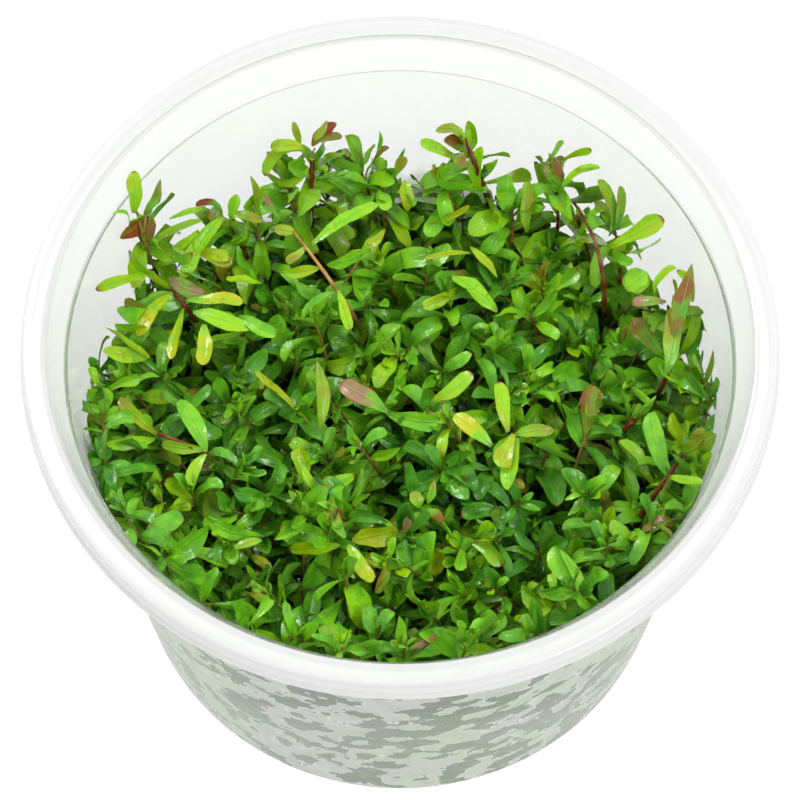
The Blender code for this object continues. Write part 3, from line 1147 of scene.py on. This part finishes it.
def piece_from(basket, name, nodes):
    """One mesh from a basket, in place of the CAD nodes it stands for."""
    mesh = bpy.data.meshes.new(name)
    mesh.from_pydata(np.concatenate(basket.points).tolist(), [], basket.faces)
    values = np.concatenate(basket.values)
    for column, value_name in enumerate(VALUE_NAMES):
        attribute = mesh.attributes.new(value_name, "FLOAT", "POINT")
        attribute.data.foreach_set("value", values[:, column].astype(np.float32))
    mesh.materials.append(wet_leaf)
    mesh.materials.append(young_stem)
    mesh.polygons.foreach_set("material_index", [int(s) for s in basket.is_stem])
    mesh.polygons.foreach_set("use_smooth", [True] * len(basket.faces))
    mesh.set_sharp_from_angle(angle=SHARP_FROM)
    mesh.validate()
    mesh.update()
    made = bpy.data.objects.new(name, mesh)
    scene.collection.objects.link(made)
    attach(made, "root")
    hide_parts(*nodes)
    print(name, "has", 2 * len(mesh.polygons), "triangles and stands for", len(nodes), "plantlets")
    return made


print("a piece has two materials:", wet_leaf.name, "and", young_stem.name)

# %% [markdown]
# ## The mat
#
# The shoots stand so close that their crowns form one surface, a little lower at the back. Their places
# come from throwing points into the cup and keeping those far enough from their neighbours. A second,
# lower layer of shoots fills the gaps with dark leaves, as the crowded ones below do. Every look is thrown
# with the same seeded dice, so each run grows the same mat.

# %% Scatter the shoots of the mat
dice = random.Random(21)
SPACING = 4.8 * MM
LOW_SPACING = 6.0 * MM
LOW_DROP = 8.0 * MM
THROWS = 12000


def mat_places(spacing):
    """Crown places over the mat, each at least a spacing from the others."""
    places = []
    reach = float(inner_wall(MAT_HEIGHT)) - 0.8 * MM
    for _ in range(THROWS):
        angle = dice.uniform(0, math.tau)
        radius = reach * math.sqrt(dice.random())
        here = Vector((radius * math.cos(angle), radius * math.sin(angle)))
        if all((here - other).length > spacing for other in places):
            places.append(here)
    return places


crowns = [(here, 0.0) for here in mat_places(SPACING)]
crowns += [(here, LOW_DROP) for here in mat_places(LOW_SPACING)]
print("the mat has", len(crowns), "shoots, the lower ones included")

# %% The look of a common shoot
STEM_HALF = 0.36 * MM
FINE_PAIRS = 7
ODD_LEAVES = 0.045
KIND_CHANCES = (3, 4, 2, 1)


def common_look():
    """Colours and habit of one shoot of the mat."""
    return {
        "tint": min(0.80, max(0.08, dice.gauss(0.40, 0.15))),
        "blush": dice.choice((0.0, 0.0, 0.05, 0.1, 0.3)),
        "blush_pairs": dice.choice((0, 1, 2)),
        "shade": dice.random(),
        "size": dice.uniform(0.76, 1.04),
        "stem": STEM_HALF,
        "knot": 1.14,
        "reach": 26.0,
        "lift": dice.uniform(-8, 14),
        "kinds": KIND_CHANCES,
        "fine_pairs": FINE_PAIRS,
        "odd": ODD_LEAVES,
        "wild": 1.15,
    }


print("chances of each kind of leaf:", dict(zip(SLIM, KIND_CHANCES)))

# %% [markdown]
# ## Growing the mat
#
# Each shoot leans its own way and stands a little higher or lower than its neighbours. Towards the back the
# leaves are larger, and along the front wall the shoots climb, pressed against the plastic. Towards the back
# and the front the leaves are also tinted paler, as painted light. Each belongs to one of a few groups, and
# each group stands where the CAD plantlets of that part stand.

# %% Groups of the mat
PLANTLETS = sorted(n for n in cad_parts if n.startswith("plantlet_"))
MIDDLES = {name: (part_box(name)[0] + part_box(name)[1]) / 2 for name in PLANTLETS}
TALL_FROM = 52.0 * MM
BACK_PART = 8.0 * MM
MIDDLE_REACH = 17 * MM
TALL = [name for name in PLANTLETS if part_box(name)[1].z > TALL_FROM and MIDDLES[name].y > BACK_PART]


def group_of(place):
    """The group of plantlets that a shoot belongs to: middle, or a side."""
    if place.length < MIDDLE_REACH:
        return "middle"
    angle = math.degrees(math.atan2(place.y, place.x)) % 360
    return ("right", "back", "left", "front")[int(((angle + 45) % 360) // 90)]


print("tall plantlets:", len(TALL), "of", len(PLANTLETS))

# %% Grow the mat
EDGE_ZONE = 0.80
CLIMB = 9.5 * MM
CLIMB_FROM = 10.0 * MM
CLIMB_OVER = 20.0 * MM
TURN_OVER = 32.0 * MM
WALL_REACH = 48.0
LEAN = 3.6 * MM
TOP_SPREAD = (-6.0, 2.2, 0.8)
BACK_LARGER = 0.20
# How much paler the leaves at the back and the front are tinted, as painted light.
SIDE_LIGHT_TINT = 0.04
FOOT_IN = 0.86
ABOVE_GEL = 0.3 * MM
baskets = {}


def held(value):
    """A value held between 0 and 1."""
    return min(1.0, max(0.0, value))


for here, drop in crowns:
    look = common_look()
    top = float(mat_surface(here.y)) - drop + dice.triangular(*TOP_SPREAD) * MM
    backward = held(here.y / TURN_OVER)
    forward = held(-here.y / TURN_OVER)
    look["size"] += BACK_LARGER * backward
    # Painted light: shoots towards the back and the front get a paler, brighter tint.
    look["tint"] = min(0.85, look["tint"] + 0.03 + SIDE_LIGHT_TINT * backward + SIDE_LIGHT_TINT * forward)
    if drop:
        look["fine_pairs"] = 0
    outward = here.length / float(inner_wall(MAT_HEIGHT))
    if outward > EDGE_ZONE:
        look["reach"] = WALL_REACH
        climb = held((CLIMB_FROM - here.y) / CLIMB_OVER)
        top += CLIMB * climb * (outward - EDGE_ZONE) / (1.0 - EDGE_ZONE)
    lean = Vector((dice.gauss(0, 1), dice.gauss(0, 1))) * LEAN
    foot = Vector((here.x * FOOT_IN - lean.x * 1.3, here.y * FOOT_IN - lean.y * 1.3, GEL_TOP + ABOVE_GEL))
    tip = Vector((here.x + lean.x * 0.6, here.y + lean.y * 0.6, top))
    bend = Vector((here.x - lean.x, here.y - lean.y, foot.z + (top - foot.z) * 0.62))
    add_shoot(baskets.setdefault(group_of(here), Basket()), dice, (foot, bend, tip), look)

print("groups:", {group: len(basket.faces) for group, basket in baskets.items()})

# %% [markdown]
# ## Shoots and leaves that the photo shows one by one
#
# Along the back and the sides some shoots stand above the mat, and within it some leaves catch the eye:
# yellow ones, a pink-brown one, long red stems. Each is named here with the places in the photo that it
# passes, in pixels, and its height there in mm. The camera turns those into points in the cup. A shoot has
# a place low on its stem and one at its tip, and its foot stands in the gel below.

# %% Shoots that stand out
TALL_LOOK = {"size": 1.15, "stem": 0.42 * MM, "lift": 10.0, "wild": 1.5}
TALL_FOOT_IN = 0.85
SEEN_SHARE = 0.72
SHOOT_LOOKS = {
    "red": {"blush": 0.95, "blush_pairs": 1, "tint": 0.60, "reach": 24.0},
    "olive": {"blush": 0.55, "blush_pairs": 3, "tint": 0.60, "reach": 15.0},
    "fresh": {"blush": 0.10, "blush_pairs": 0, "tint": 0.62, "reach": 16.0},
}
SEEN_SHOOTS = {
    "left_tip": ((152, 262, 46), (137, 232, 55), "red"),
    "left_curl": ((245, 252, 44), (228, 226, 49), "olive"),
    "crown_a": ((312, 210, 43), (314, 162, 52), "red"),
    "crown_a_left": ((298, 220, 42), (284, 178, 50), "fresh"),
    "back_left": ((262, 255, 43), (256, 222, 47), "fresh"),
    "back_bud": ((372, 205, 43), (358, 165, 49), "olive"),
    "back_fresh": ((385, 220, 42), (384, 186, 47), "fresh"),
    "crown_b": ((488, 203, 44), (466, 146, 53), "red"),
    "crown_b_left": ((458, 220, 42), (440, 180, 49), "fresh"),
    "back_right": ((512, 235, 42), (512, 208, 46), "fresh"),
    "crown_c": ((558, 215, 44), (553, 176, 52), "olive"),
    "crown_c_long": ((598, 296, 35), (578, 220, 48), "red"),
    "curl_d": ((620, 270, 44), (612, 220, 51), "olive"),
    "right_e": ((664, 385, 43), (680, 310, 52), "olive"),
    "right_low": ((702, 400, 44), (700, 380, 48), "fresh"),
    "red_right": ((640, 520, 44), (688, 452, 50), "red"),
}
print("shoots named one by one:", len(SEEN_SHOOTS))


# %% Grow the shoots that stand out
def through(foot, seen, tip, t):
    """The bend of a curve from foot to tip that passes a seen point at t."""
    return (seen - foot * (1 - t) ** 2 - tip * t ** 2) / (2 * t * (1 - t))


tall_basket = Basket()
for name, (low, top, look_name) in SEEN_SHOOTS.items():
    seen = seen_at(*low)
    tip = seen_at(*top)
    foot = Vector((seen.x * TALL_FOOT_IN, seen.y * TALL_FOOT_IN, GEL_TOP + ABOVE_GEL))
    look = {**common_look(), **TALL_LOOK, **SHOOT_LOOKS[look_name]}
    add_shoot(tall_basket, dice, (foot, through(foot, seen, tip, SEEN_SHARE), tip), look)

print("faces in the basket of tall shoots:", len(tall_basket.faces))

# %% [markdown]
# ## Bare stems
#
# Some stems lie bare across the mat: a cream one with knots, dark red ones like strings of beads, and long
# thin brown ones. Each is laid through the places where the photo shows it, and both of its ends dip under
# the leaves.

# %% Bare stems that lie on the mat
STEM_LOOKS = {
    "cream": {"tint": 0.9, "blush": 0.04, "shade": 0.5, "stem": 0.37 * MM, "knot": 1.15},
    "twig": {"tint": 0.7, "blush": 0.10, "shade": 0.5, "stem": 0.20 * MM, "knot": 1.15},
    "beaded": {"tint": 0.3, "blush": 0.95, "shade": 0.5, "stem": 0.38 * MM, "knot": 1.50},
    "green": {"tint": 0.35, "blush": 0.05, "shade": 0.5, "stem": 0.40 * MM, "knot": 1.15},
    "brown": {"tint": 0.3, "blush": 0.55, "shade": 0.5, "stem": 0.38 * MM, "knot": 1.25},
}
SEEN_STEMS = {
    "diagonal": (((362, 330, 36), (347, 304, 52), (330, 279, 55), (310, 252, 56), (293, 231, 52)), "cream"),
    "beaded_right": (((632, 536, 38), (638, 518, 50), (656, 490, 55), (676, 466, 55), (691, 444, 50)),
                     "beaded"),
    "beaded_low": (((600, 566, 40), (618, 560, 53), (632, 552, 53), (648, 536, 40)), "beaded"),
    "beaded_high": (((612, 436, 40), (630, 428, 53), (636, 420, 53), (646, 406, 40)), "beaded"),
    "long_brown": (((604, 316, 38), (606, 292, 54), (604, 256, 56), (592, 226, 55), (574, 203, 49)), "brown"),
    "left_red": (((243, 246, 45), (240, 234, 51), (234, 220, 50)), "beaded"),
    "crown_a_red": (((311, 210, 40), (311, 190, 53), (312, 152, 52)), "beaded"),
    "crown_b_red": (((490, 204, 40), (483, 182, 54), (470, 152, 55), (461, 130, 55)), "beaded"),
    "e_red": (((655, 400, 40), (664, 382, 54), (672, 366, 51)), "beaded"),
    "left_tall": (((150, 262, 48), (146, 246, 56), (141, 228, 58), (137, 212, 60)), "green"),
    "left_upright": (((143, 230, 57), (146, 221, 59), (145, 212, 59)), "green"),
    "left_red_low": (((198, 324, 40), (192, 314, 50), (182, 302, 51), (168, 286, 48)), "beaded"),
    "left_fine": (((226, 470, 42), (208, 453, 52), (190, 442, 53), (158, 437, 52), (128, 420, 48)), "brown"),
    "twig": (((340, 290, 42), (350, 274, 53), (359, 260, 51)), "twig"),
}
for name, (stops, look_name) in SEEN_STEMS.items():
    add_stem(tall_basket, [seen_at(*stop) for stop in stops], 0.0, STEM_LOOKS[look_name])

print("bare stems:", len(SEEN_STEMS))

# %% [markdown]
# ## Leaves one by one
#
# Each named leaf has the place of its root and of its tip, in pixels and a height in mm as before, and then
# its width in mm, its shape and its colour. The colours are sets of the values that the leaf material reads.

# %% Leaves that stand out
LEAF_LOOKS = {
    "green": {"tint": 0.50, "blush": 0.0, "shade": 0.2},
    "fresh": {"tint": 0.72, "blush": 0.0, "shade": 0.2},
    "lime": {"tint": 0.84, "blush": 0.0, "shade": 0.8},
    "yellow": {"tint": 0.95, "blush": 0.20, "shade": 0.1},
    "gilded": {"tint": 0.64, "blush": 0.75, "shade": 0.0},
    "olive": {"tint": 0.60, "blush": 0.55, "shade": 0.13},
    "brown": {"tint": 0.40, "blush": 1.10, "shade": 0.36},
    "red": {"tint": 0.40, "blush": 1.30, "shade": 0.62},
    "pink": {"tint": 0.50, "blush": 1.40, "shade": 1.0},
    "pale": {"tint": 0.80, "blush": 0.60, "shade": 0.10},
}
SEEN_LEAVES = {
    "left_upright": ((134, 213, 60), (134, 171, 65.2), 2.1, "oblong", "lime"),
    "left_dark": ((144, 214, 59), (160, 179, 62), 1.5, "lance", "brown"),
    "left_young": ((152, 218, 57), (120, 238, 58.5), 2.8, "oval", "red"),
    "left_young_back": ((146, 243, 54), (145, 214, 57), 2.4, "oval", "brown"),
    "left_low": ((172, 288, 50), (129, 250, 55), 2.5, "oblong", "lime"),
    "left_wall": ((152, 272, 51), (96, 290, 58), 2.1, "spatula", "lime"),
    "left_in": ((148, 245, 53), (203, 221, 52), 2.1, "oblong", "fresh"),
    "left_in_low": ((158, 264, 50), (198, 230, 52), 2.5, "oval", "lime"),
    "left_pink": ((169, 278, 50.5), (206, 292, 50.5), 2.5, "lance", "pink"),
    "left_yellow": ((186, 301, 50), (243, 302, 50), 2.0, "oblong", "gilded"),
    "curl_arch": ((222, 214, 50), (196, 206, 51), 1.4, "oblong", "red"),
    "curl_side": ((228, 214, 50), (262, 221, 50), 1.7, "oblong", "olive"),
    "back_point": ((258, 214, 48), (250, 176, 53), 1.5, "lance", "olive"),
    "a_spike": ((300, 148, 54), (293, 122, 58), 1.1, "oblong", "olive"),
    "a_top": ((316, 142, 55), (342, 136, 55), 1.6, "oblong", "brown"),
    "a_top_red": ((312, 146, 54), (337, 124, 56), 1.9, "oval", "red"),
    "a_curl_left": ((306, 151, 54), (266, 176, 52), 2.2, "oblong", "lime"),
    "a_curl_round": ((304, 148, 55), (271, 147, 55), 2.0, "oblong", "lime"),
    "a_curl_low": ((308, 167, 53), (267, 172, 52), 1.9, "oblong", "pale"),
    "a_right": ((318, 165, 50), (346, 152, 52), 1.8, "oval", "lime"),
    "back_spike": ((376, 154, 50), (379, 131, 54), 0.8, "lance", "green"),
    "back_spoon": ((392, 180, 48), (406, 157, 52), 1.6, "spatula", "olive"),
    "back_yellow": ((408, 211, 47), (405, 180, 50), 2.1, "oval", "yellow"),
    "b_top": ((469, 149, 54), (436, 131, 56), 2.0, "oblong", "olive"),
    "b_brown": ((472, 150, 54), (444, 140, 55), 2.4, "oval", "brown"),
    "b_left": ((470, 165, 51), (421, 140, 54), 1.7, "spatula", "fresh"),
    "b_right": ((480, 192, 49), (482, 147, 54), 2.7, "oval", "fresh"),
    "b_low": ((482, 184, 49), (436, 182, 50), 1.9, "oval", "green"),
    "back_oval": ((507, 213, 46), (508, 175, 50), 2.9, "oval", "green"),
    "back_dark": ((527, 232, 46), (529, 181, 51), 2.0, "oblong", "olive"),
    "gold_bar": ((470, 253, 47), (424, 259, 48), 1.2, "oblong", "yellow"),
    "gold_twig": ((430, 224, 47), (469, 205, 49), 1.0, "oblong", "yellow"),
    "orange_leaf": ((470, 247, 47), (497, 278, 46), 1.4, "lance", "yellow"),
    "lime_low": ((456, 288, 46), (421, 305, 47), 1.9, "oblong", "lime"),
    "bright_oval": ((497, 312, 46), (452, 277, 48), 2.6, "oval", "fresh"),
    "c_spoon_up": ((545, 168, 53), (564, 142, 57), 1.6, "spatula", "green"),
    "c_spoon_right": ((561, 160, 55), (591, 149, 59), 1.7, "spatula", "lime"),
    "c_brown": ((556, 192, 51), (551, 156, 55), 2.7, "oval", "brown"),
    "c_curved": ((560, 194, 52), (600, 168, 56), 1.6, "oblong", "fresh"),
    "d_curl": ((609, 236, 50), (598, 180, 56), 1.9, "oblong", "olive"),
    "d_curl_right": ((613, 232, 50), (620, 186, 56), 1.7, "oblong", "olive"),
    "d_left": ((586, 217, 50), (612, 206, 51), 1.9, "oblong", "fresh"),
    "right_spatula": ((608, 248, 52), (664, 219, 58), 2.8, "spatula", "lime"),
    "right_small": ((608, 252, 48), (633, 262, 49), 1.6, "oblong", "green"),
    "right_round": ((622, 281, 48), (650, 283, 49), 3.6, "oval", "fresh"),
    "e_long": ((672, 338, 54), (692, 264, 59), 2.5, "lance", "brown"),
    "e_pale": ((666, 374, 52), (672, 308, 55), 2.7, "oblong", "olive"),
    "e_lime": ((679, 354, 49), (698, 306, 53), 1.7, "oblong", "lime"),
    "e_pink": ((666, 302, 53), (632, 303, 52), 2.0, "oblong", "pink"),
    "wall_spike": ((703, 385, 50), (713, 350, 55), 0.9, "lance", "olive"),
    "left_gold": ((172, 292, 50), (139, 336, 51), 2.0, "oblong", "gilded"),
    "left_gold_mid": ((184, 308, 50), (171, 359, 51), 1.8, "oblong", "gilded"),
    "left_gold_tip": ((204, 324, 50), (203, 365, 50), 2.3, "oblong", "gilded"),
    "left_edge": ((148, 357, 50), (103, 350, 53), 2.2, "oval", "fresh"),
    "left_edge_up": ((150, 358, 51), (105, 327, 54), 2.2, "lance", "pale"),
    "left_edge_low": ((112, 424, 50), (90, 410, 53), 2.0, "oval", "olive"),
    "left_twin_a": ((158, 434, 51), (120, 398, 51), 1.9, "oblong", "pale"),
    "left_twin_b": ((155, 438, 51), (106, 444, 52), 1.8, "oval", "fresh"),
    "left_twin_c": ((205, 450, 51), (162, 444, 51), 1.7, "oblong", "olive"),
    "left_twin_d": ((206, 452, 51), (180, 400, 50), 2.8, "oval", "green"),
    "left_twin_e": ((206, 454, 51), (192, 486, 50), 1.9, "oblong", "fresh"),
    "left_wave": ((264, 536, 50), (206, 516, 50), 2.2, "oval", "green"),
    "left_brown_low": ((262, 540, 50), (234, 548, 50), 1.5, "oval", "olive"),
    "left_red_low": ((212, 596, 49), (180, 588, 51), 1.8, "oval", "red"),
    "left_fill_a": ((152, 314, 49), (117, 308, 54), 2.6, "oval", "green"),
    "left_fill_b": ((148, 328, 49), (115, 324, 54), 2.4, "oval", "fresh"),
    "left_fill_c": ((142, 312, 50), (125, 299, 55), 2.0, "oval", "brown"),
    "left_fill_d": ((160, 300, 48), (130, 316, 50), 2.6, "oval", "green"),
    "left_whisker": ((129, 226, 59), (112, 214, 63.6), 0.7, "lance", "fresh"),
    "left_down": ((196, 238, 51), (180, 277, 50), 2.4, "oval", "fresh"),
    "left_cover": ((176, 270, 50), (222, 290, 49), 2.0, "oblong", "lime"),
    "left_mid_a": ((193, 312, 50), (250, 329, 49), 2.6, "oval", "fresh"),
    "left_mid_b": ((238, 316, 49), (276, 335, 49), 2.0, "oblong", "green"),
    "left_mid_c": ((197, 252, 50), (232, 263, 50), 2.0, "oblong", "pale"),
    "left_mid_d": ((196, 250, 50), (230, 258, 50.5), 1.8, "oblong", "lime"),
    "left_under": ((190, 300, 48), (146, 300, 49), 2.8, "oval", "green"),
    "curl_down": ((224, 217, 51), (197, 252, 51), 2.3, "oblong", "fresh"),
    "curl_left_tip": ((206, 207, 52), (168, 219, 53), 0.9, "lance", "fresh"),
    "mid_up": ((257, 281, 50), (237, 246, 52), 2.0, "oblong", "green"),
    "mid_up_low": ((262, 283, 50), (226, 277, 50), 1.9, "oval", "lime"),
    "a_top_tip": ((314, 141, 55), (327, 120, 57), 1.2, "lance", "olive"),
    "mid_long": ((311, 424, 46), (256, 371, 48), 1.7, "spatula", "yellow"),
    "mid_spike": ((320, 428, 48), (316, 361, 51), 2.1, "lance", "olive"),
    "mid_pink": ((388, 411, 51), (340, 384, 51), 2.7, "oblong", "pink"),
    "mid_right": ((386, 412, 48), (440, 420, 48), 2.6, "oblong", "green"),
    "mid_lime": ((430, 404, 46), (472, 373, 48), 2.2, "oblong", "lime"),
    "mid_gold": ((492, 446, 49), (454, 415, 50), 2.4, "oblong", "gilded"),
    "pair_up": ((508, 432, 50), (499, 382, 52), 2.1, "oblong", "lime"),
    "pair_down": ((514, 434, 51), (500, 467, 51), 2.8, "spatula", "yellow"),
    "pair_low": ((517, 438, 50), (508, 490, 50), 2.6, "oval", "fresh"),
    "pair_right": ((515, 434, 50), (554, 431, 50), 1.8, "oval", "olive"),
    "star_up": ((345, 538, 50), (328, 503, 51), 2.0, "oblong", "olive"),
    "star_right": ((352, 540, 50), (398, 530, 51), 3.0, "oval", "yellow"),
    "star_down": ((348, 545, 50), (372, 582, 50), 2.2, "oblong", "gilded"),
    "star_left": ((340, 545, 50), (289, 549, 50), 2.4, "oblong", "lime"),
    "brown_a": ((420, 512, 48), (404, 532, 48), 2.2, "oval", "brown"),
    "brown_b": ((424, 510, 48), (444, 522, 48), 2.0, "oval", "brown"),
    "brown_c": ((420, 508, 48), (412, 492, 49), 1.9, "oval", "olive"),
    "brown_d": ((428, 504, 48), (434, 480, 50), 1.2, "lance", "olive"),
    "right_bar": ((634, 416, 47), (574, 406, 48), 1.6, "lance", "olive"),
    "right_wall_brown": ((684, 454, 53), (716, 434, 57), 3.0, "oval", "olive"),
    "right_tall": ((672, 480, 50), (652, 412, 52), 2.7, "oblong", "green"),
    "right_lime": ((690, 450, 50), (672, 412, 53), 2.2, "oval", "lime"),
    "bead_leaf_a": ((668, 477, 53), (704, 484, 56), 1.5, "oblong", "fresh"),
    "bead_leaf_b": ((660, 482, 53), (686, 500, 52), 2.4, "oblong", "fresh"),
    "bead_leaf_c": ((646, 503, 52), (664, 520, 51), 2.2, "oval", "fresh"),
    "bead_tip": ((690, 446, 54), (704, 428, 57), 1.8, "oval", "olive"),
    "low_brown": ((640, 536, 51), (674, 524, 52), 1.6, "oblong", "brown"),
    "low_fresh": ((634, 552, 50), (612, 520, 51), 2.4, "oval", "fresh"),
    "front_broad": ((562, 596, 51), (602, 606, 51), 3.0, "oval", "fresh"),
    "diagonal_up": ((312, 244, 54), (378, 204, 52), 2.0, "oblong", "fresh"),
    "diagonal_left": ((320, 267, 54), (281, 271, 53), 1.8, "lance", "lime"),
    "diagonal_olive": ((305, 247, 54), (286, 262, 53), 1.3, "oblong", "pale"),
    "diagonal_top": ((296, 232, 52), (274, 228, 52), 1.6, "oval", "olive"),
    "diagonal_pink": ((281, 221, 52), (264, 194, 53), 1.0, "oblong", "pink"),
    "diagonal_down": ((338, 290, 54), (349, 331, 52), 1.5, "oblong", "lime"),
    "diagonal_arc": ((334, 292, 53), (303, 320, 50), 1.3, "oblong", "green"),
    "broad_mid": ((371, 250, 52), (327, 265, 53), 2.2, "oval", "green"),
    "cut_end": ((385, 229, 51), (365, 245, 51), 1.4, "oblong", "yellow"),
    "e_loop_left": ((656, 296, 52), (676, 268, 55), 1.5, "oblong", "fresh"),
    "e_loop_right": ((692, 302, 53), (677, 270, 56), 1.6, "oblong", "lime"),
    "e_round": ((626, 290, 50), (646, 272, 52), 2.8, "oval", "fresh"),
    "wall_low": ((700, 470, 52), (712, 452, 58), 1.6, "oblong", "fresh"),
}
print("leaves named one by one:", len(SEEN_LEAVES))

# %% [markdown]
# ## How the named leaves curl
#
# The blade faces the camera, more or less, and bends in a plane through its root and tip. Mostly a throw of
# the dice gives the arch, the roll and the swing of that plane. The leaves named here have their own, so
# that hooks and rings come out as the photo shows them: the arch is in radians, and the roll about the rib
# and the swing of the plane away from the camera are in degrees.

# %% Lay the named leaves
CURLS = {
    "curl_arch": (2.2, 40, 80), "a_curl_left": (1.9, 50, 90), "a_curl_low": (1.9, -55, -90),
    "a_curl_round": (0.9, 20, 40), "b_top": (1.8, 40, 80), "d_curl": (1.2, 30, 80),
    "d_curl_right": (0.8, 40, 80), "c_curved": (1.3, -40, -80), "e_loop_left": (1.7, -40, -80),
    "e_loop_right": (1.5, 40, 80), "e_lime": (1.0, 30, 60), "diagonal_arc": (1.0, 50, 80),
    "low_brown": (1.6, -40, -80), "e_long": (0.4, 15, 10), "right_spatula": (0.4, 10, 20),
    "left_whisker": (1.8, 30, 90), "left_gold_tip": (0.3, 5, 10), "e_pale": (0.5, 10, 30),
    "pair_up": (0.3, 5, 10), "pair_down": (0.3, 5, 10), "pair_low": (0.4, -5, 10),
    "mid_lime": (0.3, 10, 10), "star_up": (0.3, -5, 10), "star_down": (0.4, 5, -10),
    "left_pink": (0.4, 5, 20), "left_low": (0.9, 10, -40), "left_in": (0.5, -10, -60),
    "left_gold": (0.4, 10, 40), "left_yellow": (0.5, 10, -30), "left_cover": (0.6, 20, -50),
    "left_mid_a": (0.6, -10, -30), "curl_down": (0.9, 10, 40), "mid_long": (0.4, 20, 60),
}


def seen_leaf(basket, root, tip, width, kind, look, curl):
    """A leaf between two seen places, with its arch in radians, and its roll and swing in degrees."""
    arch, roll, swing = curl
    chord = tip - root
    forward = chord.normalized()
    toward = (camera.location - root).normalized()
    up = (toward - forward * toward.dot(forward)).normalized()
    swing = math.radians(swing)
    up = up * math.cos(swing) + forward.cross(up) * math.sin(swing)
    first = forward * math.cos(arch / 2) + up * math.sin(arch / 2)
    habit = {"arch": arch, "fold": dice.uniform(0.1, 0.4), "twist": dice.uniform(-0.5, 0.5),
             "roll": math.radians(roll), "wave": dice.uniform(0.04, 0.16), "phase": dice.random(),
             "sickle": dice.gauss(0.0, 0.04)}
    length = chord.length * (arch / 2) / math.sin(arch / 2)
    lay_leaf(basket, root, first, up, kind, length, width, habit, {**look, "detail": "fine"})


for name, (root, tip, width_mm, kind, look_name) in SEEN_LEAVES.items():
    place = seen_at(*tip)
    home = tall_basket if place.y > BACK_PART else baskets[group_of(place.xy)]
    curl = CURLS.get(name, (dice.uniform(0.2, 0.9), dice.uniform(-24, 24), dice.uniform(-40, 40)))
    seen_leaf(home, seen_at(*root), place, width_mm * MM, kind, LEAF_LOOKS[look_name], curl)

print("leaves with a curl of their own:", len(CURLS))

# %% [markdown]
# ## The finished pieces
#
# Each group of shoots becomes one piece and stands for the CAD plantlets of its part of the cup. The tall
# plantlets at the back are stood for by the shoots and leaves that were named one by one.

# %% Finish the pieces
for group, basket in sorted(baskets.items()):
    nodes = [n for n in PLANTLETS if n not in TALL and group_of(MIDDLES[n].xy) == group]
    piece_from(basket, "shoots_" + group, nodes)
piece_from(tall_basket, "shoots_standing_out", TALL)
